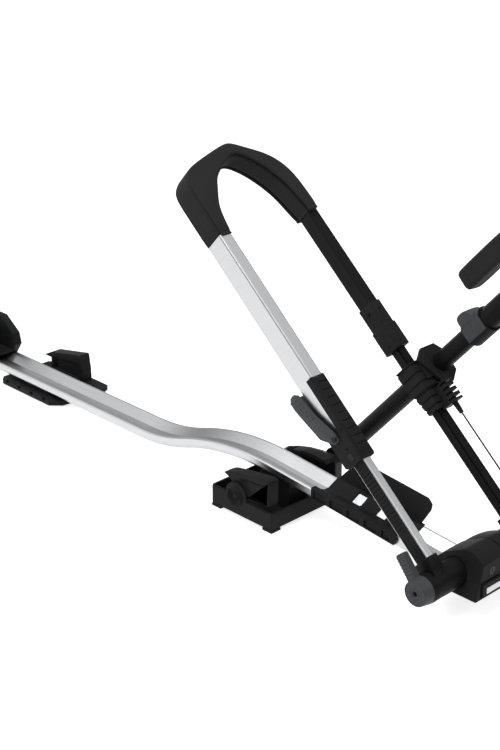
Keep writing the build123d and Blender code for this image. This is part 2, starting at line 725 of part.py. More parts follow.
def clamp_part(s0, s1, inset):
    """One step of the clamp, with ribs on its near face and its front."""
    far = PASS_Y - SIDE_GAP
    near = CLAMP_NEAR + inset
    high = CLAMP_HIGH - inset
    body = leg_block(s0, s1, CLAMP_LOW + inset, high, near, far)
    pitch = (s1 - s0) / CLAMP_RIBS
    for i in range(CLAMP_RIBS):
        s = s0 + (i + 1) * pitch - CLAMP_RIB_WIDTH
        end = s + CLAMP_RIB_WIDTH / 2
        body -= leg_block(s, end, CLAMP_LOW - OVERRUN, high + OVERRUN,
                          near - OVERRUN, near + CLAMP_RIB_DEPTH)
        body -= leg_block(s, end, high - CLAMP_RIB_DEPTH, high + OVERRUN,
                          near - OVERRUN, far + OVERRUN)
    return body


def leg_clamp():
    """Ribbed clamp round the far bar, with a slimmer neck below."""
    neck = clamp_part(CLAMP_START, CLAMP_BODY, CLAMP_NECK_INSET)
    low = CLAMP_LOW + CLAMP_NECK_INSET
    beside = FAR_LEG_Y - FAR_WIDTH / 2 - SKIN
    neck -= leg_side([(CLAMP_START - OVERRUN, low - OVERRUN), (CLAMP_BODY - OVERRUN, low - OVERRUN),
                      (CLAMP_BODY - OVERRUN, low), (CLAMP_START - OVERRUN, low + CLAMP_NECK_RISE)],
                     CLAMP_NEAR, beside)
    body = clamp_part(CLAMP_BODY, CLAMP_END, 0) + neck
    return body - leg_bar(CLAMP_START - OVERRUN, CLAMP_END + OVERRUN, FAR_DEPTH, FAR_WIDTH,
                          FAR_LEG_Y, BAR_EDGE_R)


def fin_block():
    """Finned block on the clamp's front side, with the cable's hole."""
    near = CABLE_Y - 2 * BOOT_R
    far = PASS_Y - SIDE_GAP
    body = leg_block(FIN_START, FIN_END, FIN_LOW, FIN_HIGH, near, far)
    body -= leg_block(CLAMP_START, CLAMP_BODY, FIN_LOW - OVERRUN, CLAMP_HIGH - CLAMP_NECK_INSET,
                      near - OVERRUN, far + OVERRUN)
    body -= hex_half(True)
    pitch = (FIN_END - FIN_START) / FIN_COUNT
    for i in range(FIN_COUNT):
        s = FIN_START + (i + 1) * pitch - FIN_SLOT
        body -= leg_block(s - FIN_SLOT / 2, s + FIN_SLOT / 2, FIN_HIGH - FIN_SLOT_DEPTH,
                          FIN_HIGH + OVERRUN, near - OVERRUN, far + OVERRUN)
    return body - leg_rod(FIN_START - OVERRUN, FIN_START + BOOT_LENGTH / 2, BOOT_R, CABLE_H, CABLE_Y)


def hex_half(near_half):
    """One half of the hexagonal plate, cut by the plane between the arms."""
    half = HEX_LONG / 2
    corner = half * math.sin(math.radians(60))
    tip = half - corner / 2
    s = HEX_MIDDLE_S
    mid_y = (HEX_NEAR + HEX_FAR) / 2
    points = [(s - half, mid_y - corner / 2), (s - half + tip / 2, HEX_NEAR + tip),
              (s + tip, HEX_NEAR), (s + half, HEX_NEAR + tip), (s + half, mid_y + tip),
              (s + tip, HEX_FAR), (s - tip, HEX_FAR), (s - half, HEX_FAR - tip)]
    face = LEG_FACE.offset(-HEX_LEVEL - HEX_THICK) * outline(points)
    plate = extrude(face, HEX_THICK)
    low = -OVERRUN - HEX_FAR
    if near_half:
        cut = leg_block(s - HEX_LONG, s + HEX_LONG, 0, HEX_LEVEL + 2 * HEX_THICK,
                        PASS_Y - SIDE_GAP, HEX_FAR + OVERRUN)
    else:
        cut = leg_block(s - HEX_LONG, s + HEX_LONG, 0, HEX_LEVEL + 2 * HEX_THICK,
                        low, PASS_Y)
    return plate - cut


def hex_plate_near():
    """Leg-side half of the plate, on a post from the clamp."""
    plate = hex_half(True)
    post = leg_block(HEX_MIDDLE_S - BLOCK_HALF / 2, HEX_MIDDLE_S + BLOCK_HALF / 2,
                     CLAMP_HIGH - CLAMP_RIB_DEPTH - RUN_GAP, HEX_LEVEL, HEX_NEAR + SKIN,
                     PASS_Y - SIDE_GAP)
    return plate + (post - leg_clamp())


save(leg_clamp(), "arm_clamp")
save(fin_block(), "cable_block")
save(hex_plate_near(), "latch_plate_near")

BOOT_S = FIN_START + BOOT_LENGTH / 2
boot_place = LEG.location * Pos(BOOT_S - BOOT_LENGTH * 3 / 4, CABLE_H, CABLE_Y) * Rot(0, -90, 0)
boot = boot_place * Cone(BOOT_R, BOOT_TIP_R, BOOT_LENGTH * 3 / 2)
boot -= leg_rod(FIN_START - 3 * BOOT_LENGTH, FIN_START + BOOT_LENGTH, CABLE_R, CABLE_H, CABLE_Y)
save(boot, "cable_boot")
save(leg_rod(CABLE_END - STOP_LENGTH, BOOT_S, CABLE_R, CABLE_H, CABLE_Y), "release_cable")


# Hook slider: upper tube, far tube, collar, hook

def hollow_leg(s0, s1, depth, width, y, radius, wall):
    """A rectangular tube along a leg."""
    outer = leg_bar(s0, s1, depth, width, y, radius)
    inner = leg_bar(s0 - OVERRUN, s1 + OVERRUN, depth - 2 * wall, width - 2 * wall, y, radius / 2)
    return outer - inner


save(hollow_leg(TUBE_START, TUBE_END, TUBE_DEPTH, TUBE_WIDTH, NEAR_LEG_Y, TUBE_EDGE_R, TUBE_WALL),
     "near_upper_tube")
save(hollow_leg(FAR_TUBE_START, TUBE_END, FAR_TUBE_DEPTH, FAR_TUBE_WIDTH, FAR_LEG_Y,
                BAR_EDGE_R, TUBE_WALL), "far_upper_tube")


def far_collar():
    """Stepped collar round the lower end of the far tube."""
    middle = (COLLAR_START + COLLAR_END) / 2
    depth = FAR_TUBE_DEPTH + 2 * COLLAR_WALL
    width = FAR_TUBE_WIDTH + COLLAR_WALL
    body = leg_bar(COLLAR_START, COLLAR_END, depth, width, FAR_LEG_Y, COLLAR_WALL)
    body += leg_bar(COLLAR_START, middle, depth + COLLAR_WALL, width + COLLAR_WALL, FAR_LEG_Y,
                    COLLAR_WALL)
    body -= leg_bar(FAR_TUBE_START, COLLAR_END + OVERRUN, FAR_TUBE_DEPTH, FAR_TUBE_WIDTH,
                    FAR_LEG_Y, BAR_EDGE_R)
    body -= leg_bar(COLLAR_START - OVERRUN, COLLAR_END, FAR_DEPTH + 2 * RUN_GAP,
                    FAR_WIDTH + 2 * RUN_GAP, FAR_LEG_Y, BAR_EDGE_R)
    return body


save(far_collar(), "far_collar")

# Outline of the padded hook, as shares of its half width and of its height above the pad's end
HOOK_OUT_SHARES = [(0.0, -1.0), (0.70, -1.0), (0.84, -0.76), (1.0, 0.04), (0.99, 0.14),
                   (0.84, 0.45), (0.73, 0.74), (0.50, 0.94), (0.0, 0.98)]
HOOK_IN_SHARES = [(0.0, 0.78), (0.38, 0.69), (0.68, 0.46), (0.855, 0.19), (0.85, 0.04),
                  (0.65, -0.42), (0.50, -0.55), (0.28, -0.75), (0.0, -0.78)]


def hook_points(shares, start):
    """Points of the hook's outline from its shares."""
    height = HOOK_TOP - HOOK_PAD_START
    return [(start if a == 0 else HOOK_PAD_START + a * height, b * HOOK_HALF_WIDTH)
            for a, b in shares]


def hook_outline_face(start, shrink):
    """The hook's U-shaped face, shrunk all round by one wall."""
    points = hook_points(HOOK_OUT_SHARES, start) + hook_points(HOOK_IN_SHARES, start)
    face = make_face(Polyline(*points, close=True))
    open_end = start + OVERRUN
    corners = [v for v in face.vertices() if v.X > open_end]
    face = fillet(corners, HOOK_ROUND_IN)
    if shrink > 0:
        face = offset(face, -shrink)
    return face


def hook_pad():
    """Soft cover of the hook, with the bow's room inside."""
    plane = LEG_FACE.offset(-HOOK_PAD_HALF)
    pad = extrude(plane * hook_outline_face(HOOK_PAD_START, 0), 2 * HOOK_PAD_HALF)
    return pad - hook_core()


def hook_core():
    """Stiff bow inside the pad, which plugs into both tubes."""
    plane = LEG_FACE.offset(-HOOK_CORE_HALF)
    start = HOOK_CORE_START - HOOK_CORE_IN
    bow = extrude(plane * hook_outline_face(start, HOOK_CORE_IN), 2 * HOOK_CORE_HALF)
    near_plug = leg_bar(start, TUBE_END, TUBE_DEPTH - 2 * TUBE_WALL, TUBE_WIDTH - 2 * TUBE_WALL,
                        NEAR_LEG_Y, TUBE_EDGE_R / 2)
    far_plug = leg_bar(start, TUBE_END, FAR_TUBE_DEPTH - 2 * TUBE_WALL,
                       FAR_TUBE_WIDTH - 2 * TUBE_WALL, FAR_LEG_Y, BAR_EDGE_R / 2)
    keep = leg_block(TUBE_END, HOOK_TOP + OVERRUN, -HOOK_PAD_HALF, HOOK_PAD_HALF,
                     -HOOK_HALF_WIDTH, HOOK_HALF_WIDTH)
    return (bow & keep) + near_plug + far_plug


core = hook_core()
pad_shell = hook_pad() - leg_bar(TUBE_START, TUBE_END, TUBE_DEPTH, TUBE_WIDTH, NEAR_LEG_Y, TUBE_EDGE_R)
pad_shell -= leg_bar(TUBE_START, TUBE_END, FAR_TUBE_DEPTH, FAR_TUBE_WIDTH, FAR_LEG_Y, BAR_EDGE_R)
save(core, "hook_bow")
save(pad_shell, "hook_pad")


# Ratchet handle on the near leg

def ratchet_body():
    """Body that holds the tube's end, slides on the bar and carries the pawl."""
    side = TUBE_WIDTH / 2 + RATCHET_SIDE
    body = leg_side([(RATCHET_START, -BAR_DEPTH / 2 - SKIN), (RATCHET_START + OVERRUN, RATCHET_LOW),
                     (RATCHET_END, RATCHET_LOW), (RATCHET_END, RATCHET_HIGH),
                     (RATCHET_START + OVERRUN, RATCHET_HIGH), (RATCHET_START, BAR_DEPTH / 2 + SKIN)],
                    NEAR_LEG_Y - side, NEAR_LEG_Y + side)
    flank = RATCHET_HIGH - GRIP_BEVEL / 2
    narrow = side - GRIP_BEVEL
    body &= leg_run([(RATCHET_LOW, -side), (flank, -side), (RATCHET_HIGH, -narrow), (RATCHET_HIGH, narrow),
                     (flank, side), (RATCHET_LOW, side)], RATCHET_START, RATCHET_END, NEAR_LEG_Y)
    tube = leg_bar(TUBE_START, RATCHET_END + OVERRUN, TUBE_DEPTH, TUBE_WIDTH, NEAR_LEG_Y, TUBE_EDGE_R)
    pawl = leg_block(PAWL_S - RUN_GAP, PAWL_S + PAWL_LENGTH + RUN_GAP,
                     -PAWL_HALF - RUN_GAP, PAWL_HALF + RUN_GAP, NEAR_LEG_Y - side - OVERRUN, NEAR_LEG_Y)
    body = body - tube - bar_run(RATCHET_START - OVERRUN, RATCHET_END + OVERRUN) - pawl
    for y in (NEAR_LEG_Y - side - OVERRUN, NEAR_LEG_Y + side - RATCHET_SIDE):
        body -= lever_rod(SCREW_R, y, y + RATCHET_SIDE + OVERRUN)
    return body


PAWL_S = RATCHET_START + SKIN + OVERRUN


def lever_rod(r, y0, y1):
    """A round bar along the release lever's pivot."""
    return LEG.location * Pos(RELEASE_PIVOT_S, RELEASE_PIVOT_H, (y0 + y1) / 2) * Cylinder(r, y1 - y0)


def bar_run(s0, s1):
    """The room that the lower bar and its rack need to slide through."""
    bar = leg_bar(s0, s1, BAR_DEPTH + 2 * RUN_GAP, BAR_WIDTH + 2 * RUN_GAP, NEAR_LEG_Y, BAR_EDGE_R)
    face = NEAR_LEG_Y - BAR_WIDTH / 2
    rack = leg_block(s0, s1, RACK_LOW - RUN_GAP, RACK_HIGH + RUN_GAP,
                     face - RACK_THICK - RACK_TOOTH - RUN_GAP, NEAR_LEG_Y)
    return bar + rack


def ratchet_grip():
    """Ribbed grip along the front of the handle."""
    side = TUBE_WIDTH / 2 + GRIP_SIDE
    body = leg_side([(GRIP_START, RATCHET_HIGH), (GRIP_START + GRIP_HIGH - RATCHET_HIGH + SKIN, GRIP_HIGH),
                     (GRIP_END - OVERRUN, GRIP_HIGH), (GRIP_END, GRIP_HIGH - OVERRUN),
                     (GRIP_END, GRIP_LOW), (RATCHET_END, GRIP_LOW), (RATCHET_END, RATCHET_HIGH)],
                    NEAR_LEG_Y - side, NEAR_LEG_Y + side)
    flank = GRIP_HIGH - GRIP_BEVEL
    narrow = side - GRIP_BEVEL
    body &= leg_run([(0, -side), (flank, -side), (GRIP_HIGH, -narrow), (GRIP_HIGH, narrow),
                     (flank, side), (0, side)], GRIP_START, GRIP_END, NEAR_LEG_Y)
    body -= leg_bar(TUBE_START, GRIP_END + OVERRUN, TUBE_DEPTH, TUBE_WIDTH, NEAR_LEG_Y, TUBE_EDGE_R)
    pitch = (GRIP_END - GRIP_START) / (GRIP_RIBS + 1)
    for i in range(GRIP_RIBS):
        s = GRIP_START + (i + 1) * pitch
        body -= leg_block(s - GRIP_RIB_WIDTH / 2, s + GRIP_RIB_WIDTH / 2, GRIP_HIGH - GRIP_RIB_DEPTH,
                          GRIP_HIGH + OVERRUN, NEAR_LEG_Y - side - OVERRUN, NEAR_LEG_Y + side + OVERRUN)
    return body


def slide_bush():
    """Guide inside the tube's end that runs on the lower bar."""
    outer = leg_bar(TUBE_START + RUN_GAP, TUBE_START + GUIDE_LENGTH, TUBE_DEPTH - 2 * TUBE_WALL,
                    TUBE_WIDTH - 2 * TUBE_WALL, NEAR_LEG_Y, TUBE_EDGE_R / 2)
    return outer - bar_run(TUBE_START - OVERRUN, TUBE_START + GUIDE_LENGTH + OVERRUN)


def ratchet_pawl():
    """Pawl in its slot, with its wedge just clear of the rack's teeth."""
    crest = NEAR_LEG_Y - BAR_WIDTH / 2 - RACK_THICK - RACK_TOOTH - RUN_GAP
    side = NEAR_LEG_Y - TUBE_WIDTH / 2 - RATCHET_SIDE
    body = leg_block(PAWL_S, PAWL_S + PAWL_LENGTH, -PAWL_HALF, PAWL_HALF, side, crest - RACK_TOOTH)
    tooth = RACK_PITCH * (1 - RACK_LAND_SHARE)
    middle = PAWL_S + PAWL_LENGTH / 2
    return body + leg_block(middle - tooth / 2, middle + tooth / 2, -PAWL_HALF, PAWL_HALF,
                            crest - RACK_TOOTH, crest)


save(ratchet_body(), "ratchet_body")
save(ratchet_grip(), "ratchet_grip")
save(slide_bush(), "slide_bush")
save(ratchet_pawl(), "ratchet_pawl")


def release_lever():
    """Grey squeeze lever behind the tube, with two cheeks to its pivot."""
    inner = TUBE_WIDTH / 2 + RATCHET_SIDE + RUN_GAP
    outer = inner + RELEASE_CHEEK
    back = -TUBE_DEPTH / 2 - 2 * RUN_GAP
    travel = (RELEASE_END - RELEASE_PIVOT_S) * math.sin(math.radians(RELEASE_TRAVEL))
    rest = back - travel
    hub = SCREW_HEAD_R + SKIN
    grip = [(RATCHET_END + SKIN, RATCHET_LOW - SKIN), (RELEASE_END, rest - SKIN),
            (RELEASE_END, RELEASE_BACK), (RELEASE_END - TUBE_WIDTH, RELEASE_BACK),
            (RATCHET_END + SKIN, RATCHET_LOW - 4 * SKIN)]
    cheek = [(RELEASE_PIVOT_S - hub, RELEASE_PIVOT_H + hub), (RELEASE_PIVOT_S + hub, RELEASE_PIVOT_H + hub),
             (RELEASE_END, rest - SKIN), (RELEASE_END, RELEASE_BACK),
             (RELEASE_END - TUBE_WIDTH, RELEASE_BACK), (RATCHET_END + SKIN, RATCHET_LOW - 4 * SKIN),
             (RELEASE_PIVOT_S - hub, RELEASE_PIVOT_H - hub)]
    body = leg_side(grip, NEAR_LEG_Y - outer, NEAR_LEG_Y + outer, RELEASE_EDGE_R)
    for a, b in ((-outer, -inner), (inner, outer)):
        body += leg_side(cheek, NEAR_LEG_Y + a, NEAR_LEG_Y + b, RELEASE_EDGE_R)
    return body - lever_rod(SCREW_R + PIN_GAP, NEAR_LEG_Y - outer - OVERRUN, NEAR_LEG_Y + outer + OVERRUN)


save(release_lever(), "release_lever")


def pivot_screw(side):
    """Shouldered screw that carries one cheek of the lever."""
    inner = TUBE_WIDTH / 2
    outer = TUBE_WIDTH / 2 + RATCHET_SIDE + 2 * RUN_GAP + RELEASE_CHEEK
    head = outer + SCREW_HEAD
    ends = sorted((NEAR_LEG_Y + side * inner, NEAR_LEG_Y + side * outer))
    head_ends = sorted((NEAR_LEG_Y + side * outer, NEAR_LEG_Y + side * head))
    return lever_rod(SCREW_R, *ends) + lever_rod(SCREW_HEAD_R, *head_ends)


save(Compound(children=[pivot_screw(-1), pivot_screw(1)]), "lever_screws")


# Knob and lever at the barrel's near end

def lock_knob():
    """Round knob and ribbed lever, moulded in one."""
    near = BARREL_NEAR - RUN_GAP - KNOB_LENGTH
    far = BARREL_NEAR - RUN_GAP
    place = Pos(BARREL_X, (near + far) / 2, BARREL_Z) * Rot(90, 0, 0)
    knob = place * Cone(KNOB_R, KNOB_FACE_R, KNOB_LENGTH)
    knob -= rod_y(BARREL_X, BARREL_Z, KNOB_HOLE_R, near - OVERRUN, near + KNOB_HOLE_DEPTH)
    frame = Plane(origin=(BARREL_X, far, BARREL_Z),
                  x_dir=(math.cos(math.radians(LEVER_ANGLE)), 0, math.sin(math.radians(LEVER_ANGLE))),
                  z_dir=(0, -1, 0))
    half = LEVER_WIDTH / 2
    blade = extrude(outline([(0, -half), (LEVER_REACH, -half), (LEVER_REACH, half), (0, half)],
                            LEVER_WIDTH / 4), LEVER_THICK)
    start = KNOB_R + LEVER_RIB
    pitch = (LEVER_REACH - start) / LEVER_RIBS
    for i in range(LEVER_RIBS):
        x = start + (i + 1 / 2) * pitch
        blade -= block(x, x + LEVER_RIB, -LEVER_WIDTH, LEVER_WIDTH, LEVER_THICK - LEVER_RIB / 2,
                       LEVER_THICK + OVERRUN)
    body = knob + frame.location * blade
    return body - rod_y(BARREL_X, BARREL_Z, SHAFT_R + PIN_GAP, SHAFT_NEAR - RUN_GAP, far + OVERRUN)


save(lock_knob(), "lock_knob")


# Front arm

def arm_tube():
    """Round tube with a flattened eye at its lower end."""
    tube = arm_rod(ARM_START, ARM_END, ARM_R) - arm_rod(ARM_START + OVERRUN, ARM_END + OVERRUN,
                                                        ARM_R - TUBE_WALL)
    return tube


def arm_eye():
    """Cast eye that turns on the pivot pin and plugs the tube."""
    width = ARM_R
    eye = rod_y(ARM_PIVOT_X, ARM_PIVOT_Z, ARM_EYE_R, PASS_Y, ARM_Y + width)
    neck = arm_rod(0, ARM_START, ARM_R)
    plug = arm_rod(ARM_START - OVERRUN, ARM_START + OVERRUN, ARM_R - TUBE_WALL - PIN_GAP)
    body = eye + neck
    body += plug - arm_tube()
    return body - rod_y(ARM_PIVOT_X, ARM_PIVOT_Z, ARM_PIN_R + PIN_GAP, PASS_Y - OVERRUN, ARM_Y + 2 * ARM_R)


def arm_block():
    """Block on the tube behind the latch, under the plate's far half."""
    top = hex_level_on_arm()
    far = HEX_FAR - 2 * SKIN
    body = arm_side([(BLOCK_START, -BLOCK_HALF), (top, -BLOCK_HALF), (top, BLOCK_HALF),
                     (BLOCK_START, BLOCK_HALF)], PASS_Y, far)
    pitch = (top - BLOCK_START) / FIN_COUNT
    for i in range(FIN_COUNT - 1):
        t = BLOCK_START + (i + 1) * pitch
        for side in (-1, 1):
            m = side * BLOCK_HALF
            body -= arm_side([(t - FIN_SLOT / 2, m - FIN_SLOT), (t + FIN_SLOT / 2, m - FIN_SLOT),
                              (t + FIN_SLOT / 2, m + FIN_SLOT), (t - FIN_SLOT / 2, m + FIN_SLOT)],
                             PASS_Y - OVERRUN, far + OVERRUN)
    return body - arm_rod(BLOCK_START - OVERRUN, top + OVERRUN, ARM_R) - hex_half(False)


def hex_level_on_arm():
    """Distance along the arm at which the hexagonal plate starts."""
    gap = (LEG.origin - ARM_PIVOT).dot(LEG_UP)
    return (gap + HEX_LEVEL) / ARM_DIR.dot(LEG_UP)


def hex_plate_far():
    """Arm-side half of the plate, with the tube through it."""
    top = hex_level_on_arm()
    return hex_half(False) - arm_rod(top - HEX_THICK, top + 3 * HEX_THICK, ARM_R)


save(arm_tube(), "front_arm_tube")
save(arm_eye(), "front_arm_eye")
save(arm_block(), "arm_block")
save(hex_plate_far(), "latch_plate_far")


def sleeve():
    """Upper tube of the front arm, which slides on the lower one."""
    return arm_rod(SLEEVE_START, SLEEVE_END, SLEEVE_R) - arm_rod(
        SLEEVE_START - OVERRUN, SLEEVE_END + OVERRUN, ARM_R + RUN_GAP)


def sleeve_collar():
    """Split collar at the sleeve's lower end, with the lever's lug."""
    end = SLEEVE_START + COLLAR_RING_LENGTH
    ring = arm_rod(SLEEVE_START, end, COLLAR_RING_R)
    near = ARM_Y - SLEEVE_R - SIDE_GAP
    ring &= arm_side([(SLEEVE_START - OVERRUN, -2 * COLLAR_RING_R), (end + OVERRUN, -2 * COLLAR_RING_R),
                      (end + OVERRUN, 2 * COLLAR_RING_R), (SLEEVE_START - OVERRUN, 2 * COLLAR_RING_R)],
                     near, ARM_Y + 2 * COLLAR_RING_R)
    t = LEVER_MIDDLE
    lug = arm_side([(t - LUG_HALF, 0), (t + LUG_HALF, 0), (t + LUG_HALF, LEVER_PIN_M),
                    (t - LUG_HALF, LEVER_PIN_M)], ARM_Y - LUG_WIDTH / 2, ARM_Y + LUG_WIDTH / 2)
    lug += arm_side_rod(t, LEVER_PIN_M, LUG_HALF, ARM_Y - LUG_WIDTH / 2, ARM_Y + LUG_WIDTH / 2)
    hole = arm_side_rod(t, LEVER_PIN_M, LEVER_PIN_R, ARM_Y - CLAMP_LEVER_WIDTH,
                        ARM_Y + CLAMP_LEVER_WIDTH)
    return ring + lug - arm_rod(SLEEVE_START - OVERRUN, end + OVERRUN, SLEEVE_R) - hole


def arm_side_rod(t, m, r, y0, y1):
    """A round bar along Y at a place on the front arm."""
    return ARM.location * Pos(t, m, -(y0 + y1) / 2) * Cylinder(r, y1 - y0)


LEVER_PIN_M = COLLAR_RING_R + LUG_HALF
LEVER_MIDDLE = SLEEVE_START + CLAMP_LEVER_INSET


def clamp_lever():
    """Over-centre lever of the collar, lying on its ring."""
    half = CLAMP_LEVER_WIDTH / 2
    t = LEVER_MIDDLE
    m = LEVER_PIN_M
    hub = LUG_HALF - RUN_GAP
    slot_half = LUG_WIDTH / 2 + RUN_GAP
    under = COLLAR_RING_R + 2 * SIDE_GAP
    top = under + CLAMP_LEVER_THICK
    end = t + CLAMP_LEVER_LENGTH
    body = arm_side_rod(t, m, hub, ARM_Y - half, ARM_Y + half)
    body += arm_side([(t, under), (end, under), (end, under + CLAMP_LEVER_THICK / 2),
                      (end - CLAMP_LEVER_THICK, top - SKIN / 2), (t + CLAMP_LEVER_THICK, top), (t, m + hub)],
                     ARM_Y - half, ARM_Y + half)
    body -= arm_side([(t - 2 * hub, 0), (t + 2 * hub, 0), (t + 2 * hub, 2 * m), (t - 2 * hub, 2 * m)],
                     ARM_Y - slot_half, ARM_Y + slot_half)
    return body - arm_side_rod(t, m, LEVER_PIN_R + PIN_GAP, ARM_Y - 2 * half, ARM_Y + 2 * half)


save(sleeve(), "front_hook_tube")
save(sleeve_collar(), "clamp_collar")
save(clamp_lever(), "clamp_lever")
lever_pin = arm_side_rod(LEVER_MIDDLE, LEVER_PIN_M, LEVER_PIN_R,
                         ARM_Y - CLAMP_LEVER_WIDTH / 2, ARM_Y + CLAMP_LEVER_WIDTH / 2)
save(lever_pin, "clamp_lever_pin")

# The front hook lies in a plane through the tube, tilted so that its free leg stands behind
J_SPAN = ARM_Y - J_FREE_Y
j_tilt = math.atan2(J_FREE_RISE, J_SPAN)
J_ACROSS = Vector(0, -math.cos(j_tilt), 0) + ARM_BACK * math.sin(j_tilt)
J_NORMAL = ARM_DIR.cross(J_ACROSS)
J_PLANE = Plane(origin=ARM_PIVOT + Vector(0, ARM_Y, 0), x_dir=ARM_DIR, z_dir=J_NORMAL)
J_WIDE = J_SPAN / math.cos(j_tilt)


def j_slab(start, half, end_gap, depth):
    """A hook-shaped slab: up the tube, across, and down the free leg."""
    out = J_TOP + half
    inn = J_TOP - half
    points = [(start, -half), (out, -half), (out, J_WIDE + half), (J_FREE_END + end_gap, J_WIDE + half),
              (J_FREE_END + end_gap, J_WIDE - half), (inn, J_WIDE - half), (inn, half), (start, half)]
    face = outline(points)
    outer = [v for v in face.vertices() if v.X > out - OVERRUN / 2]
    face = fillet(outer, J_BEND_R + half)
    inner = [v for v in face.vertices()
             if abs(v.X - inn) < RUN_GAP and half - RUN_GAP < v.Y < J_WIDE - half + RUN_GAP]
    face = fillet(inner, J_BEND_R - half)
    tips = [v for v in face.vertices() if v.X < J_FREE_END + end_gap + RUN_GAP and v.Y > J_WIDE / 2]
    face = fillet(tips, half / 3)
    return extrude(J_PLANE.offset(-depth) * face, 2 * depth)


def front_hook_core():
    """Stiff bow inside the front pad."""
    bow = j_slab(J_CORE_START, J_CORE_HALF, J_HALF - J_CORE_HALF, J_CORE_HALF)
    keep = ARM.location * block(SLEEVE_END, J_TOP + 2 * J_HALF, -3 * J_HALF, 3 * J_HALF, -2 * ARM_Y,
                                2 * ARM_Y)
    long_keep = ARM.location * block(J_FREE_END, J_TOP + 2 * J_HALF, -3 * J_HALF, 3 * J_HALF, -ARM_Y / 2,
                                     2 * ARM_Y)
    plug = arm_rod(J_CORE_START, SLEEVE_END, ARM_R + RUN_GAP)
    return (bow & (keep + long_keep)) + plug


def front_hook_pad():
    """Soft cover of the front hook."""
    pad = j_slab(SLEEVE_END, J_HALF, 0, J_HALF)
    return pad - front_hook_core()


save(front_hook_core(), "front_hook_bow")
save(front_hook_pad(), "front_hook_pad")


# Front foot

def foot_side(y0, y1):
    """Side wall with the round lobe over the jaw's pivot."""
    low = SOLE_THICK
    wall = side_plate([(FOOT_REAR, low), (FOOT_FRONT, low), (FOOT_FRONT, FOOT_FRONT_RIM),
                       (BOSS_X + BOSS_R, FOOT_FRONT_RIM), (BOSS_X, FOOT_RIM), (FOOT_REAR, FOOT_RIM)], y0, y1)
    return wall + rod_y(BOSS_X, BOSS_Z, BOSS_R, y0, y1)


def front_foot():
    """Open shell under the tray, with the saddle that carries the tray."""
    low = SOLE_THICK
    floor = block(FOOT_REAR, FOOT_FRONT, FOOT_NEAR, FOOT_FAR, low, low + FOOT_FLOOR)
    walls = foot_side(FOOT_NEAR, FOOT_NEAR + FOOT_WALL) + foot_side(FOOT_FAR - FOOT_WALL, FOOT_FAR)
    rear = block(FOOT_REAR, FOOT_REAR + FOOT_WALL, FOOT_NEAR, FOOT_FAR, low, FOOT_RIM)
    front = block(FOOT_FRONT - FOOT_WALL, FOOT_FRONT, FOOT_NEAR, FOOT_FAR, low, FOOT_FRONT_RIM)
    ring = rod_y(BOSS_X, BOSS_Z, BOSS_RING_R, FOOT_NEAR - BOSS_STEP, FOOT_NEAR)
    hub = rod_y(BOSS_X, BOSS_Z, BOSS_HUB_R, FOOT_NEAR - 2 * BOSS_STEP, FOOT_NEAR)
    groove = rod_y(BOSS_X, BOSS_Z, BOSS_RING_R - BOSS_STEP, FOOT_NEAR - 2 * BOSS_STEP,
                   FOOT_NEAR) - hub
    x0 = SADDLE_MIDDLE_X - SADDLE_HALF_X
    x1 = SADDLE_MIDDLE_X + SADDLE_HALF_X
    saddle = side_plate([(x0, low), (x1, low), (x1, tray_base_z(x1)), (x0, tray_base_z(x1))],
                        -TRAY_FOOT_HALF, TRAY_FOOT_HALF)
    saddle -= block(x0 + SKIN * 2, x1 - SKIN * 2, -TRAY_FOOT_HALF + SKIN * 2, TRAY_FOOT_HALF - SKIN * 2,
                    low + FOOT_FLOOR, tray_base_z(x1) - SKIN * 2)
    body = floor + walls + rear + front + (ring - groove) + saddle
    body -= rod_y(BOSS_X, BOSS_Z, JAW_PIN_R, FOOT_NEAR + FOOT_WALL / 2, FOOT_NEAR + 2 * FOOT_WALL)
    return body - tray


save(front_foot(), "front_foot_shell")

sole_x = [FOOT_REAR + SOLE_SIZE / 2, FOOT_FRONT - SOLE_SIZE / 2]
sole_y = [FOOT_NEAR + SOLE_SIZE / 2, FOOT_FAR - SOLE_SIZE / 2]
soles = [Pos(x, y, SOLE_THICK / 2) * Box(SOLE_SIZE, SOLE_SIZE, SOLE_THICK) for x in sole_x for y in sole_y]
middle_sole = block(-SADDLE_HALF_X, SADDLE_HALF_X, -TRAY_FOOT_HALF, TRAY_FOOT_HALF, 0, SOLE_THICK)
save(Compound(children=soles + [middle_sole]), "front_soles")


def front_jaw():
    """Hooked upper jaw inside the near end of the foot."""
    neck = BOSS_X - BOSS_HUB_R - SKIN
    points = [(JAW_TIP_X, JAW_TIP_Z - SKIN), (JAW_TIP_X + 6 * SKIN, JAW_TIP_Z + 2 * SKIN),
              (-BOSS_R / 2, JAW_TOP - 4 * SKIN), (JAW_FRONT_X - 4 * SKIN, JAW_TOP),
              (JAW_FRONT_X, JAW_TOP - SKIN), (JAW_FRONT_X, JAW_FOOT_Z), (BOSS_X + BOSS_R, JAW_FOOT_Z - SKIN),
              (BOSS_X + BOSS_HUB_R, BOSS_Z - BOSS_HUB_R), (BOSS_X - BOSS_HUB_R, BOSS_Z - BOSS_HUB_R),
              (neck, JAW_TIP_Z - 6 * SKIN), (JAW_TIP_X + 4 * SKIN, JAW_TIP_Z - 2 * SKIN)]
    jaw = side_plate(points, JAW_NEAR, JAW_FAR)
    inner_x = JAW_FRONT_X - 3 * SKIN
    recess = side_plate([(BOSS_X + BOSS_HUB_R, JAW_TIP_Z), (inner_x, JAW_TIP_Z + 3 * SKIN),
                         (inner_x, JAW_FOOT_Z + 2 * SKIN), (BOSS_X + BOSS_R, JAW_FOOT_Z + 2 * SKIN)],
                        JAW_NEAR - OVERRUN, JAW_NEAR + SKIN)
    jaw -= recess
    return jaw - rod_y(BOSS_X, BOSS_Z, JAW_PIN_R + PIN_GAP, JAW_NEAR - OVERRUN, JAW_FAR + OVERRUN)


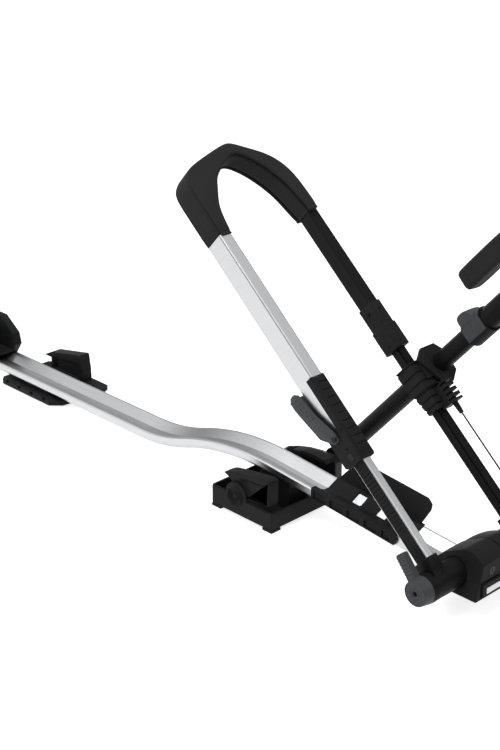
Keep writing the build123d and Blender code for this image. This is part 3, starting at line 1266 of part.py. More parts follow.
save(front_jaw(), "front_jaw")
jaw_pin = rod_y(BOSS_X, BOSS_Z, JAW_PIN_R, FOOT_NEAR + FOOT_WALL / 2, JAW_FAR)
save(jaw_pin, "jaw_pin")


# Top of the bracket beside the foot and at its far face, as shares of its length and height
BRACKET_FOOT_SHARES = [(0.0, 0.47), (0.10, 0.71), (0.30, 0.85), (0.52, 0.96), (0.735, 1.0), (0.93, 0.96),
                       (1.0, 0.80)]
BRACKET_FAR_SHARES = [(-0.19, 0.32), (-0.09, 0.46), (0.114, 0.60), (0.336, 0.71), (0.557, 0.77),
                      (0.83, 0.80), (0.93, 0.66)]


def bracket_points(shares):
    """Side view of the bracket from its shares."""
    low = SOLE_THICK + FOOT_FLOOR
    points = [(BRACKET_REAR + a * (BRACKET_FRONT - BRACKET_REAR), low + b * (BRACKET_TOP - low))
              for a, b in shares]
    return points + [(points[-1][0], low), (points[0][0], low)]


def arm_bracket():
    """Domed bracket at the far end of the foot, which holds the arm's pin."""
    far = PASS_Y - SIDE_GAP
    faces = [Plane(origin=(0, y, 0), x_dir=(1, 0, 0), z_dir=(0, -1, 0)) * outline(bracket_points(shares))
             for y, shares in ((FOOT_FAR, BRACKET_FOOT_SHARES), (far, BRACKET_FAR_SHARES))]
    dome = loft(faces, ruled=True)
    inner = side_plate(bracket_points(BRACKET_FOOT_SHARES), BRACKET_NEAR, FOOT_FAR)
    upper = block(BRACKET_REAR - OVERRUN, BRACKET_FRONT + OVERRUN, BRACKET_NEAR, FOOT_FAR, FOOT_RIM + BOSS_R,
                  BRACKET_TOP + OVERRUN)
    body = dome + (inner & upper)
    return body - rod_y(ARM_PIVOT_X, ARM_PIVOT_Z, ARM_PIN_R, FOOT_FAR + FOOT_WALL, far + OVERRUN)


save(arm_bracket(), "arm_bracket")

PIN_END = ARM_Y + ARM_R + 2 * SKIN
arm_pin = rod_y(ARM_PIVOT_X, ARM_PIVOT_Z, ARM_PIN_R, FOOT_FAR + FOOT_WALL, PIN_END)
arm_pin += rod_y(ARM_PIVOT_X, ARM_PIVOT_Z, 2 * ARM_PIN_R, ARM_Y + ARM_R + RUN_GAP, PIN_END)
save(arm_pin, "arm_pivot_pin")


# Front wheel cradle on the tray

def slope_point(x, above_rim):
    """A place on the front run of the tray, above its rims."""
    return (x, tray_rim_z(x) + above_rim)


def cradle_rail():
    """Pocketed rail clipped over the tray's near rim."""
    near = -TRAY_HALF_WIDTH - RAIL_THICK
    low = -(RAIL_HEIGHT - RAIL_OVER)
    points = [slope_point(CRADLE_REAR, low + RAIL_OVER / 2), slope_point(CRADLE_REAR, RAIL_OVER),
              slope_point(CRADLE_FRONT - RAIL_HEIGHT / 2, RAIL_OVER), slope_point(CRADLE_FRONT, 0),
              slope_point(CRADLE_FRONT - RAIL_OVER, low)]
    rail = side_plate(points, near, -TRAY_HALF_WIDTH)
    lip = [slope_point(CRADLE_REAR, 0), slope_point(CRADLE_REAR, RAIL_OVER),
           slope_point(CRADLE_FRONT - RAIL_HEIGHT / 2, RAIL_OVER), slope_point(CRADLE_FRONT - RAIL_OVER, 0)]
    rail += side_plate(lip, near, -TRAY_HALF_WIDTH + TRAY_SHOULDER)
    pitch = (CRADLE_FRONT - CRADLE_REAR) / RAIL_POCKETS
    for i in range(RAIL_POCKETS):
        x = CRADLE_REAR + pitch * i + RAIL_THICK
        wide = pitch - 2 * RAIL_THICK
        if i == RAIL_POCKETS - 1:
            wide -= RAIL_HEIGHT / 2
        pocket = [slope_point(x, low + RAIL_OVER / 2), slope_point(x, RAIL_OVER / 2),
                  slope_point(x + wide, RAIL_OVER / 2), slope_point(x + wide, low + RAIL_OVER / 2)]
        rail -= side_plate(pocket, near - OVERRUN, near + RAIL_THICK / 2)
    return rail


def cradle_floor_section():
    """Thin section that follows the tray from its groove to the far rim."""
    w = TRAY_HALF_WIDTH
    top = TRAY_HEIGHT
    low = TRAY_HEIGHT - TRAY_GROOVE_DROP
    g = TRAY_GROOVE_HALF
    t = CRADLE_THICK
    start = -w + TRAY_SHOULDER + RUN_GAP
    drop = (w - TRAY_SHOULDER - g)
    rise = (top - low) / drop
    near_z = low + (-start - g) * rise
    under = [(start, near_z), (-g, low), (g, low), (w - TRAY_SHOULDER, top), (w, top)]
    over = [(w, top + t), (w - TRAY_SHOULDER - t / 2, top + t), (g, low + t), (-g, low + t),
            (start, near_z + t)]
    return under + over


def wheel_cradle():
    """Saddle with two windows and a wing that guides the tyre."""
    start = tray_base_z(CRADLE_REAR)
    fall = math.radians(TRAY_FALL)
    frame = Plane(origin=(CRADLE_REAR, 0, start), x_dir=(0, 1, 0),
                  z_dir=(math.cos(fall), 0, -math.sin(fall)))
    length = (CRADLE_FRONT - CRADLE_REAR) / math.cos(fall)
    floor = extrude(frame * outline(cradle_floor_section()), length)
    lean = math.radians(WING_LEAN)
    top_y = TRAY_HALF_WIDTH - WING_THICK
    wing_frame = Plane(origin=(CRADLE_REAR, top_y, tray_rim_z(CRADLE_REAR) + CRADLE_THICK / 2),
                       x_dir=(math.cos(fall), 0, -math.sin(fall)),
                       z_dir=(0, -math.cos(lean), math.sin(lean)))
    points = [(a * length, b * WING_HIGH) for a, b in WING_SHARES]
    face = outline(points)
    tops = [v for v in face.vertices() if v.Y > WING_HIGH / 3]
    face = fillet(tops, WING_ROUND)
    wing = extrude(wing_frame * face, -WING_THICK)
    body = floor + wing
    for share in WINDOW_SHARES:
        x = CRADLE_REAR + share * (CRADLE_FRONT - CRADLE_REAR)
        body -= block(x, x + WINDOW_LENGTH, WINDOW_Y - WINDOW_WIDTH / 2, WINDOW_Y + WINDOW_WIDTH / 2,
                      0, tray_rim_z(x) + OVERRUN)
    return body


WING_SHARES = [(0.016, 0.0), (0.10, 0.505), (0.198, 0.94), (0.372, 1.0), (0.984, 1.0), (1.04, 0.86),
               (1.045, 0.64), (0.981, 0.0)]
WINDOW_SHARES = [0.29, 0.573]

save(cradle_rail(), "cradle_rail")
save(wheel_cradle(), "wheel_cradle")


# Rear foot on its own slide

def rear_plate():
    """Long plate under the tray, with the far claw's guide and two bolt holes."""
    low = REAR_SOLE_THICK
    top = low + REAR_PLATE_THICK
    x0, x1 = REAR_PLATE_REAR, REAR_PLATE_FRONT
    y0, y1 = REAR_PLATE_NEAR, REAR_PLATE_FAR
    cut = REAR_PLATE_THICK
    face = outline([(x0 + cut, y0), (x1 - 3 * cut, y0), (x1 - cut, y0 + 2 * cut), (x1, y1 - 2 * cut),
                    (x1 - cut, y1), (x0 + cut, y1), (x0, y1 - cut), (x0, y0 + cut)])
    plate = extrude(Plane.XY.offset(low) * face, REAR_PLATE_THICK)
    for i in range(4):
        x = x0 + cut * 2 + i * cut * 4
        plate -= block(x, x + cut, y0 - OVERRUN, y0 + cut / 2, low + cut / 2, top + OVERRUN)
    for x in (BOLT_HOLE_X, BOLT_HOLE_X - 2 * cut):
        plate -= Pos(x, BOLT_HOLE_Y, low) * Cylinder(BOLT_HOLE_R, 2 * REAR_PLATE_THICK + OVERRUN)
    guide = block(GUIDE_REAR, GUIDE_FRONT, GUIDE_Y - GUIDE_HALF, GUIDE_Y + GUIDE_HALF, top,
                  top + GUIDE_HEIGHT)
    return plate + guide


def rear_slide():
    """Block between plate and tray, with the tongue that runs in the slot."""
    middle = (REAR_PLATE_REAR + REAR_PLATE_FRONT) / 2
    half = RAIL_LENGTH / 2
    top = REAR_SOLE_THICK + REAR_PLATE_THICK
    pad = block(middle - half, middle + half, -TRAY_FOOT_HALF, TRAY_FOOT_HALF, top,
                TRAY_UNDERSIDE - RUN_GAP)
    tongue = block(middle - half, middle + half, -TRAY_SLOT_HALF + RUN_GAP, TRAY_SLOT_HALF - RUN_GAP,
                   top, TRAY_UNDERSIDE + TRAY_WALL + RUN_GAP)
    head_low = TRAY_UNDERSIDE + TRAY_WALL + RUN_GAP
    head = block(middle - half, middle + half, -2 * TRAY_SLOT_HALF, 2 * TRAY_SLOT_HALF, head_low,
                 head_low + TRAY_WALL)
    return pad + tongue + head


def rear_claw():
    """Hooked claw whose mouth opens to the rear."""
    low = REAR_SOLE_THICK + REAR_PLATE_THICK + RUN_GAP
    points = [(CLAW_TIP, CLAW_MOUTH_HIGH), (CLAW_REAR + SKIN, CLAW_TOP_REAR),
              (CLAW_FRONT - SKIN, CLAW_TOP_FRONT), (CLAW_FRONT, CLAW_TOP_FRONT - SKIN),
              (CLAW_FRONT + 2 * SKIN, CLAW_MOUTH_HIGH),
              (CLAW_FRONT + 2 * SKIN, low), (CLAW_REAR - 4 * SKIN, low),
              (CLAW_REAR, CLAW_MOUTH_LOW + SKIN), (CLAW_REAR, CLAW_MOUTH_HIGH)]
    claw = side_plate(points, CLAW_NEAR, CLAW_FAR)
    rear = CLAW_REAR + 4 * SKIN
    front = CLAW_FRONT - 4 * SKIN
    relief = side_plate([(rear, CLAW_TOP_REAR - 4 * SKIN), (front, CLAW_TOP_REAR),
                         (front, low + 2 * SKIN), (rear, low + 2 * SKIN)],
                        CLAW_NEAR - OVERRUN, CLAW_NEAR + SKIN)
    claw -= relief
    claw -= block(GUIDE_REAR - CLAW_TRAVEL, GUIDE_FRONT + RUN_GAP,
                  GUIDE_Y - GUIDE_HALF - RUN_GAP, GUIDE_Y + GUIDE_HALF + RUN_GAP, low - OVERRUN,
                  REAR_SOLE_THICK + REAR_PLATE_THICK + GUIDE_HEIGHT + RUN_GAP)
    for z in RIVET_LEVELS:
        claw -= rod_y(RIVET_X, z, SCREW_R, CLAW_NEAR - OVERRUN, CLAW_FAR + OVERRUN)
    return claw


RIVET_X = CLAW_REAR + 6 * SKIN
RIVET_LEVELS = [CLAW_MOUTH_LOW + 4 * SKIN, CLAW_MOUTH_HIGH - SKIN]

save(rear_plate(), "rear_foot_plate")
save(rear_slide(), "rear_foot_slide")
save(rear_claw(), "rear_claw")
rivets = [rod_y(RIVET_X, z, SCREW_R, CLAW_NEAR, CLAW_FAR) for z in RIVET_LEVELS]
save(Compound(children=rivets), "claw_rivets")
sole_ends = [(REAR_PLATE_REAR + REAR_PLATE_THICK, REAR_PLATE_REAR + 5 * REAR_PLATE_THICK),
             (REAR_PLATE_FRONT - 8 * REAR_PLATE_THICK, REAR_PLATE_FRONT - 4 * REAR_PLATE_THICK)]
rear_soles = [block(a, b, REAR_PLATE_NEAR + REAR_PLATE_THICK, REAR_PLATE_FAR - REAR_PLATE_THICK,
                    0, REAR_SOLE_THICK) for a, b in sole_ends]
save(Compound(children=rear_soles), "rear_soles")


# Rear wheel holder on the tray

STRAP_X = HOLDER_FRONT - HOLDER_LENGTH * STRAP_PLACE_SHARE


def rear_holder():
    """Saddle block that straddles the tray, with the wheel's channel on top."""
    rear = HOLDER_FRONT - HOLDER_LENGTH
    nose = HOLDER_LENGTH / 6
    points = [(rear, HOLDER_SKIRT), (HOLDER_FRONT - nose, HOLDER_SKIRT), (HOLDER_FRONT, HOLDER_NOSE_Z),
              (HOLDER_FRONT - nose / 4, HOLDER_NOSE_Z + nose), (HOLDER_FRONT - 2 * nose, HOLDER_TOP),
              (rear + nose, HOLDER_TOP), (rear, HOLDER_TOP - nose)]
    body = side_plate(points, -HOLDER_HALF, HOLDER_HALF)
    tray_room = block(rear - OVERRUN, HOLDER_FRONT + OVERRUN, -TRAY_HALF_WIDTH - RUN_GAP,
                      TRAY_HALF_WIDTH + RUN_GAP, 0, TRAY_UNDERSIDE + TRAY_HEIGHT + RUN_GAP)
    rim = TRAY_UNDERSIDE + TRAY_HEIGHT
    channel = block(rear - OVERRUN, HOLDER_FRONT + OVERRUN, -HOLDER_CHANNEL_HALF, HOLDER_CHANNEL_HALF,
                    rim + 2 * HOLDER_WALL, HOLDER_TOP + OVERRUN)
    body = body - tray_room - channel
    half = STRAP_WIDTH / 2 + RUN_GAP
    outer = STRAP_HALF + STRAP_THICK
    body -= block(STRAP_X - half, STRAP_X + half, -outer, outer, rim + HOLDER_WALL,
                  rim + HOLDER_WALL + STRAP_THICK + 2 * RUN_GAP)
    for y0, y1 in ((-outer - RUN_GAP, RUN_GAP - STRAP_HALF), (STRAP_HALF - RUN_GAP, outer + RUN_GAP)):
        body -= block(STRAP_X - half, STRAP_X + half, y0, y1, rim + HOLDER_WALL, HOLDER_TOP + OVERRUN)
    return body


def wheel_strap():
    """Closed strap that goes round the rim of the rear wheel."""
    low = TRAY_UNDERSIDE + TRAY_HEIGHT + HOLDER_WALL + RUN_GAP
    high = HOLDER_TOP + STRAP_HIGH - STRAP_HALF
    frame = Plane(origin=(STRAP_X - STRAP_WIDTH / 2, 0, 0), x_dir=(0, 1, 0), z_dir=(1, 0, 0))

    def loop(half, base, top):
        left = Line((-half, base), (half, base))
        right = Line((half, base), (half, top))
        crown = ThreePointArc((half, top), (0, top + half), (-half, top))
        down = Line((-half, top), (-half, base))
        return make_face(Curve() + [left, right, crown, down])

    outer = loop(STRAP_HALF + STRAP_THICK, low, high)
    inner = loop(STRAP_HALF, low + STRAP_THICK, high)
    return extrude(frame * (outer - inner), STRAP_WIDTH)


def strap_buckle():
    """Ratchet buckle on the near run of the strap."""
    near = -STRAP_HALF - STRAP_THICK - BUCKLE_THICK
    low = HOLDER_TOP + RUN_GAP + OVERRUN
    half = BUCKLE_WIDTH / 2
    body = block(STRAP_X - half, STRAP_X + half, near, -STRAP_HALF + SKIN, low, low + BUCKLE_LENGTH)
    room = block(STRAP_X - STRAP_WIDTH / 2, STRAP_X + STRAP_WIDTH / 2, -STRAP_HALF - STRAP_THICK,
                 -STRAP_HALF, low - OVERRUN, low + BUCKLE_LENGTH + OVERRUN)
    channel = block(STRAP_X - half + SKIN, STRAP_X + half - SKIN, near - OVERRUN, near + BUCKLE_THICK - SKIN,
                    low + 2 * SKIN, low + BUCKLE_LENGTH + OVERRUN)
    return body - room - channel


def buckle_lever():
    """Small lever that works the buckle."""
    half = BUCKLE_WIDTH / 2 - SKIN - RUN_GAP
    near = -STRAP_HALF - STRAP_THICK - BUCKLE_THICK
    low = HOLDER_TOP + RUN_GAP + OVERRUN + 2 * SKIN + RUN_GAP
    blade = block(STRAP_X - half, STRAP_X + half, near - SKIN, near + BUCKLE_THICK / 2, low + SKIN,
                  low + BUCKLE_LENGTH + 2 * SKIN)
    return fillet(blade.edges().filter_by(Axis.X), SKIN / 2) - buckle_pin(PIN_GAP)


def buckle_pin(grow=0):
    """Pin of the buckle's lever."""
    near = -STRAP_HALF - STRAP_THICK - BUCKLE_THICK
    low = HOLDER_TOP + 2 * RUN_GAP + OVERRUN + 3 * SKIN
    half_thick = (BUCKLE_THICK / 2 + SKIN) / 2
    return rod_x(near - SKIN + half_thick, low + half_thick, BUCKLE_PIN_R + grow,
                 STRAP_X - BUCKLE_WIDTH / 2, STRAP_X + BUCKLE_WIDTH / 2)


save(rear_holder(), "rear_wheel_holder")
save(wheel_strap(), "wheel_strap")
save(strap_buckle() - buckle_pin(), "strap_buckle")
save(buckle_lever(), "buckle_lever")
save(buckle_pin(), "buckle_pin")
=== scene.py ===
# %% [markdown]
# # A roof mounted bike carrier
# The carrier's frame was made in CAD, to size. Here it gets its looks: rounded edges on the mouldings,
# padded hooks, ribs, rings and screws, and finishes for metal, plastic and rubber.
# The imported model is loaded first.

# %% Load the frame
import json
import math

import bmesh
import bpy
from mathutils import Matrix, Vector


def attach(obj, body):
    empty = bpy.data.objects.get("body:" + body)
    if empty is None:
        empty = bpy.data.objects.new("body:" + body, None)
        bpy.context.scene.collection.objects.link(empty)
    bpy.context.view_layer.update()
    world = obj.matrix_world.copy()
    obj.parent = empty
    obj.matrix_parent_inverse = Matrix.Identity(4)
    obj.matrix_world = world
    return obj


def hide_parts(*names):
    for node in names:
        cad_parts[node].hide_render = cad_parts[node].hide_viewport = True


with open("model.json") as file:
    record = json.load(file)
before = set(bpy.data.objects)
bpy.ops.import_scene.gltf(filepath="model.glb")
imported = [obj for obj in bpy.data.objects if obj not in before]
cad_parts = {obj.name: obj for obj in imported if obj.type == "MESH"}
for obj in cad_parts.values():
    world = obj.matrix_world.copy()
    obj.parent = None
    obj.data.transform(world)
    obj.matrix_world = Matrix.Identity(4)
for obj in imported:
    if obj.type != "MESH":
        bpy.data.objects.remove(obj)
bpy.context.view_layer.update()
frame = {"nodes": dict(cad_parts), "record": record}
nodes = frame["nodes"]
bodies = frame["record"]["behaviour"]["bodies"]
body_of_node = {name: body for body, names in bodies.items() for name in names}
slot_of_node = {part["node"]: part["material_slot"] for part in frame["record"]["subparts"]}
MM = 0.001

# %% [markdown]
# ## The camera
# The photograph was taken from the near front corner, a little above the carrier, with a long lens.
# A camera can be aimed with a Track To constraint, but writing its axes into its matrix gives the
# same view each time with nothing left to solve.

# %% Camera
CAMERA_PLACE = Vector((1.8455, -1.8800, 1.4095))
TO_CAMERA = Vector((0.6563, -0.6409, 0.3981)).normalized()
TO_RIGHT = Vector((0.6987, 0.7154, 0.0)).normalized()
TO_TOP = TO_CAMERA.cross(TO_RIGHT)
LENS_MM = 74.92
SENSOR_MM = 36
FARTHEST = 100
camera_data = bpy.data.cameras.new("camera")
camera_data.lens = LENS_MM
camera_data.sensor_width = SENSOR_MM
camera_data.clip_end = FARTHEST
camera = bpy.data.objects.new("camera", camera_data)
camera.matrix_world = Matrix((
    (TO_RIGHT.x, TO_TOP.x, TO_CAMERA.x, CAMERA_PLACE.x),
    (TO_RIGHT.y, TO_TOP.y, TO_CAMERA.y, CAMERA_PLACE.y),
    (TO_RIGHT.z, TO_TOP.z, TO_CAMERA.z, CAMERA_PLACE.z),
    (0, 0, 0, 1)))
bpy.context.scene.collection.objects.link(camera)
bpy.context.scene.camera = camera
print("camera at", [round(v, 2) for v in camera.location])

# %% [markdown]
# ## Floor, world and lamps
# The photograph has a plain white ground. More light would turn the ground white, and the bright metal with
# it. So the world and the floor are bright by themselves where the camera sees them, and the lamps stay low
# enough for the metal to keep its greys. The floor still takes the shadow. A reflection sees walls that are
# darker low down, as in a studio, so the tray's flat bottom gets a greyer tone than its sloping sides.

# %% Helper for node trees
def place_node(tree, kind, **values):
    """Adds a shader node and sets the named properties and inputs."""
    node = tree.nodes.new(kind)
    for key, value in values.items():
        if key in node.inputs:
            node.inputs[key].default_value = value
        else:
            setattr(node, key, value)
    return node


def seen_directly(tree):
    """1 where the camera, a reflection or a clear piece sees the surface."""
    path = place_node(tree, "ShaderNodeLightPath")
    first = place_node(tree, "ShaderNodeMath", operation="MAXIMUM")
    tree.links.new(path.outputs["Is Camera Ray"], first.inputs[0])
    tree.links.new(path.outputs["Is Glossy Ray"], first.inputs[1])
    both = place_node(tree, "ShaderNodeMath", operation="MAXIMUM")
    tree.links.new(first.outputs[0], both.inputs[0])
    tree.links.new(path.outputs["Is Transmission Ray"], both.inputs[1])
    return both.outputs[0]


# %% World
WORLD_LIGHT = 0.30
LOW_WALL, HIGH_WALL, WALL_TONE = 0.42, 0.60, 0.30
world = bpy.data.worlds.new("studio")
bpy.context.scene.world = world
world.use_nodes = True
tree = world.node_tree
tree.nodes.clear()
soft_light = place_node(tree, "ShaderNodeBackground", Strength=WORLD_LIGHT)
soft_light.inputs["Color"].default_value = (1, 1, 1, 1)
white_ground = place_node(tree, "ShaderNodeBackground", Strength=1.0)
white_ground.inputs["Color"].default_value = (1, 1, 1, 1)
either = place_node(tree, "ShaderNodeMixShader")
world_out = place_node(tree, "ShaderNodeOutputWorld")
tree.links.new(seen_directly(tree), either.inputs[0])
tree.links.new(soft_light.outputs[0], either.inputs[1])
tree.links.new(white_ground.outputs[0], either.inputs[2])
coords = place_node(tree, "ShaderNodeTexCoord")
height = place_node(tree, "ShaderNodeSeparateXYZ")
wall = place_node(tree, "ShaderNodeMapRange")
wall.inputs["From Min"].default_value = LOW_WALL
wall.inputs["From Max"].default_value = HIGH_WALL
wall.inputs["To Min"].default_value = WALL_TONE
wall.inputs["To Max"].default_value = 1.0
wall_path = place_node(tree, "ShaderNodeLightPath")
wall_shown = place_node(tree, "ShaderNodeMath", operation="MAXIMUM")
tree.links.new(coords.outputs["Generated"], height.inputs[0])
tree.links.new(height.outputs["Z"], wall.inputs["Value"])
tree.links.new(wall.outputs["Result"], wall_shown.inputs[0])
tree.links.new(wall_path.outputs["Is Camera Ray"], wall_shown.inputs[1])
tree.links.new(wall_shown.outputs[0], white_ground.inputs["Strength"])
tree.links.new(either.outputs[0], world_out.inputs[0])
print("world light", WORLD_LIGHT)

# %% Floor
FLOOR_SIZE = 60.0
FLOOR_GLOW = 0.74
CHALK = 0.86
bm = bmesh.new()
bmesh.ops.create_grid(bm, x_segments=1, y_segments=1, size=FLOOR_SIZE / 2)
floor_mesh = bpy.data.meshes.new("floor")
bm.to_mesh(floor_mesh)
bm.free()
floor = bpy.data.objects.new("floor", floor_mesh)
bpy.context.scene.collection.objects.link(floor)
floor_paint = bpy.data.materials.new("white floor")
floor_paint.use_nodes = True
tree = floor_paint.node_tree
tree.nodes.clear()
chalk = place_node(tree, "ShaderNodeBsdfDiffuse", Color=(CHALK, CHALK, CHALK, 1))
glow = place_node(tree, "ShaderNodeEmission", Strength=FLOOR_GLOW)
glow.inputs["Color"].default_value = (1, 1, 1, 1)
dark = place_node(tree, "ShaderNodeEmission", Strength=0.0)
shown = place_node(tree, "ShaderNodeMixShader")
total = place_node(tree, "ShaderNodeAddShader")
floor_out = place_node(tree, "ShaderNodeOutputMaterial")
tree.links.new(seen_directly(tree), shown.inputs[0])
tree.links.new(dark.outputs[0], shown.inputs[1])
tree.links.new(glow.outputs[0], shown.inputs[2])
tree.links.new(chalk.outputs[0], total.inputs[0])
tree.links.new(shown.outputs[0], total.inputs[1])
tree.links.new(total.outputs[0], floor_out.inputs[0])
floor_mesh.materials.append(floor_paint)
print("floor", FLOOR_SIZE, "m")


# %% Lamps
def soft_lamp(name, place, target, size, power):
    """A square soft lamp aimed at a point."""
    data = bpy.data.lights.new(name, "AREA")
    data.shape = "SQUARE"
    data.size = size
    data.energy = power
    lamp = bpy.data.objects.new(name, data)
    lamp.location = place
    lamp.rotation_euler = (Vector(target) - Vector(place)).to_track_quat("-Z", "Y").to_euler()
    bpy.context.scene.collection.objects.link(lamp)
    return lamp


MIDDLE = (0.0, 0.0, 0.3)
LAMPS = (("key lamp", (-0.4, -1.0, 3.3), 2.4, 75), ("left lamp", (-2.6, -2.2, 1.2), 2.0, 14),
         ("right lamp", (2.8, 0.6, 2.4), 1.4, 16))
for name, place, size, power in LAMPS:
    soft_lamp(name, place, MIDDLE, size, power)
print("lamps", len(LAMPS))

# %% [markdown]
# ## Effects that many finishes share
# Brushing, moulded grain and lighter edges, which are partly wear and partly a painted highlight, show on
# many pieces, each at its own strength. Each one is a node group, built once. The groups give only numbers
# that change over the surface, and the shaders stay in the materials, so that the model can be exported.

# %% Helper for node groups
def new_group(name, inputs, outputs):
    """An empty shader node group with float inputs and named outputs."""
    group = bpy.data.node_groups.new(name, "ShaderNodeTree")
    for label, value in inputs:
        socket = group.interface.new_socket(label, in_out="INPUT", socket_type="NodeSocketFloat")
        socket.default_value = value
    for label, kind in outputs:
        group.interface.new_socket(label, in_out="OUTPUT", socket_type=kind)
    ends = (group.nodes.new("NodeGroupInput"), group.nodes.new("NodeGroupOutput"))
    return group, ends[0], ends[1]


def scaled(tree, value, factor, offset):
    """value * factor + offset, where factor may be a socket."""
    step = place_node(tree, "ShaderNodeMath", operation="MULTIPLY_ADD")
    tree.links.new(value, step.inputs[0])
    if isinstance(factor, float):
        step.inputs[1].default_value = factor
    else:
        tree.links.new(factor, step.inputs[1])
    step.inputs[2].default_value = offset
    return step.outputs[0]


# %% Brushing along a direction
ALONG_LINES = 0.012


def make_brushing():
    """Fine lines along the group's X after the pattern is turned about Y by Turn."""
    group, start, end = new_group("brushing", [("Turn", 0.0), ("Lines", 900.0)],
                                  [("Line", "NodeSocketFloat"), ("Patch", "NodeSocketFloat")])
    where = place_node(group, "ShaderNodeTexCoord")
    turn = place_node(group, "ShaderNodeVectorRotate", rotation_type="Y_AXIS")
    group.links.new(where.outputs["Object"], turn.inputs["Vector"])
    group.links.new(start.outputs["Turn"], turn.inputs["Angle"])
    stretch = place_node(group, "ShaderNodeVectorMath", operation="MULTIPLY")
    stretch.inputs[1].default_value = (ALONG_LINES, 1.0, 1.0)
    group.links.new(turn.outputs[0], stretch.inputs[0])
    lines = place_node(group, "ShaderNodeTexNoise", Detail=3.0, Roughness=0.6)
    group.links.new(stretch.outputs[0], lines.inputs["Vector"])
    group.links.new(start.outputs["Lines"], lines.inputs["Scale"])
    patches = place_node(group, "ShaderNodeTexNoise", Scale=9.0, Detail=2.0)
    group.links.new(turn.outputs[0], patches.inputs["Vector"])
    group.links.new(lines.outputs["Fac"], end.inputs["Line"])
    group.links.new(patches.outputs["Fac"], end.inputs["Patch"])
    return group


brushing = make_brushing()


# %% Moulded grain
def make_grain():
    """Fine moulded grain, with a slow change of tone under it."""
    group, start, end = new_group("moulded grain", [("Scale", 1400.0)],
                                  [("Grain", "NodeSocketFloat"), ("Patch", "NodeSocketFloat")])
    where = place_node(group, "ShaderNodeTexCoord")
    grain = place_node(group, "ShaderNodeTexNoise", Detail=4.0, Roughness=0.65)
    group.links.new(where.outputs["Object"], grain.inputs["Vector"])
    group.links.new(start.outputs["Scale"], grain.inputs["Scale"])
    patches = place_node(group, "ShaderNodeTexNoise", Scale=14.0, Detail=3.0)
    group.links.new(where.outputs["Object"], patches.inputs["Vector"])
    group.links.new(grain.outputs["Fac"], end.inputs["Grain"])
    group.links.new(patches.outputs["Fac"], end.inputs["Patch"])
    return group


grain = make_grain()


# %% Worn edges with a painted highlight
WEAR_AND_HIGHLIGHT_REACH = 0.9 * MM


def make_wear_and_highlight_edges():
    """1 along edges and 0 on flats: how far a bevelled normal leans from the true one. It marks the edges
    that are lightened, partly for wear and partly as a painted highlight.
    """
    group, start, end = new_group("edge wear and painted highlight", [("Strength", 1.0)], [("Edge", "NodeSocketFloat")])
    rounded = place_node(group, "ShaderNodeBevel", samples=4)
    rounded.inputs["Radius"].default_value = WEAR_AND_HIGHLIGHT_REACH
    true = place_node(group, "ShaderNodeNewGeometry")
    lean = place_node(group, "ShaderNodeVectorMath", operation="DOT_PRODUCT")
    group.links.new(rounded.outputs[0], lean.inputs[0])
    group.links.new(true.outputs["Normal"], lean.inputs[1])
    flip = place_node(group, "ShaderNodeMath", operation="SUBTRACT", use_clamp=True)
    flip.inputs[0].default_value = 1.0
    group.links.new(lean.outputs["Value"], flip.inputs[1])
    where = place_node(group, "ShaderNodeTexCoord")
    broken = place_node(group, "ShaderNodeTexNoise", Scale=120.0, Detail=3.0)
    group.links.new(where.outputs["Object"], broken.inputs["Vector"])
    amount = place_node(group, "ShaderNodeMath", operation="MULTIPLY")
    group.links.new(flip.outputs[0], amount.inputs[0])
    group.links.new(broken.outputs["Fac"], amount.inputs[1])
    out = place_node(group, "ShaderNodeMath", operation="MULTIPLY", use_clamp=True)
    group.links.new(amount.outputs[0], out.inputs[0])
    group.links.new(start.outputs["Strength"], out.inputs[1])
    group.links.new(out.outputs[0], end.inputs["Edge"])
    return group


wear_and_highlight_edges = make_wear_and_highlight_edges()
print("effects", brushing.name, grain.name, wear_and_highlight_edges.name)

# %% [markdown]
# ## Finishes
# The carrier has seven: satin aluminium, plated steel, darkened steel, black powder coat, textured black
# plastic, smooth grey plastic and soft black rubber. Painting each with one flat colour would make them look
# like toys. Each one here varies a little in tone and gloss, with the bump of its real surface.


# %% Helpers for a material
def add_group(tree, group, **values):
    """Places a node group in a material."""
    node = tree.nodes.new("ShaderNodeGroup")
    node.node_tree = group
    for key, value in values.items():
        node.inputs[key].default_value = value
    return node


def tone_mix(tree, factor, first, second):
    """A colour between two tones, where the first may be a socket."""
    mix = place_node(tree, "ShaderNodeMix", data_type="RGBA")
    colours = [socket for socket in mix.inputs if socket.type == "RGBA"]
    tree.links.new(factor, mix.inputs[0])
    if isinstance(first, tuple):
        colours[0].default_value = (*first, 1)
    else:
        tree.links.new(first, colours[0])
    colours[1].default_value = (*second, 1)
    return [out for out in mix.outputs if out.type == "RGBA"][0]


def bare_material(name):
    """A material with its Principled shader, ready for links."""
    material = bpy.data.materials.new(name)
    material.use_nodes = True
    tree = material.node_tree
    shader = [node for node in tree.nodes if node.type == "BSDF_PRINCIPLED"][0]
    return material, tree, shader


def add_bump(tree, shader, height, strength, distance):
    """Gives the shader a bump from a height socket."""
    bump = place_node(tree, "ShaderNodeBump", Strength=strength, Distance=distance)
    tree.links.new(height, bump.inputs["Height"])
    tree.links.new(bump.outputs[0], shader.inputs["Normal"])


# %% Metal finishes
LEG_TURN = math.radians(41.6)


def brushed_metal(name, turn, dark, light, roughness, lines=900.0):
    """Brushed metal with its lines along one direction."""
    material, tree, shader = bare_material(name)
    marks = add_group(tree, brushing, Turn=turn, Lines=lines)
    tone = tone_mix(tree, marks.outputs["Line"], dark, light)
    tree.links.new(tone, shader.inputs["Base Color"])
    shader.inputs["Metallic"].default_value = 1.0
    rough = scaled(tree, marks.outputs["Patch"], 0.10, roughness - 0.05)
    tree.links.new(rough, shader.inputs["Roughness"])
    add_bump(tree, shader, marks.outputs["Line"], 0.12, 0.1 * MM)
    return material


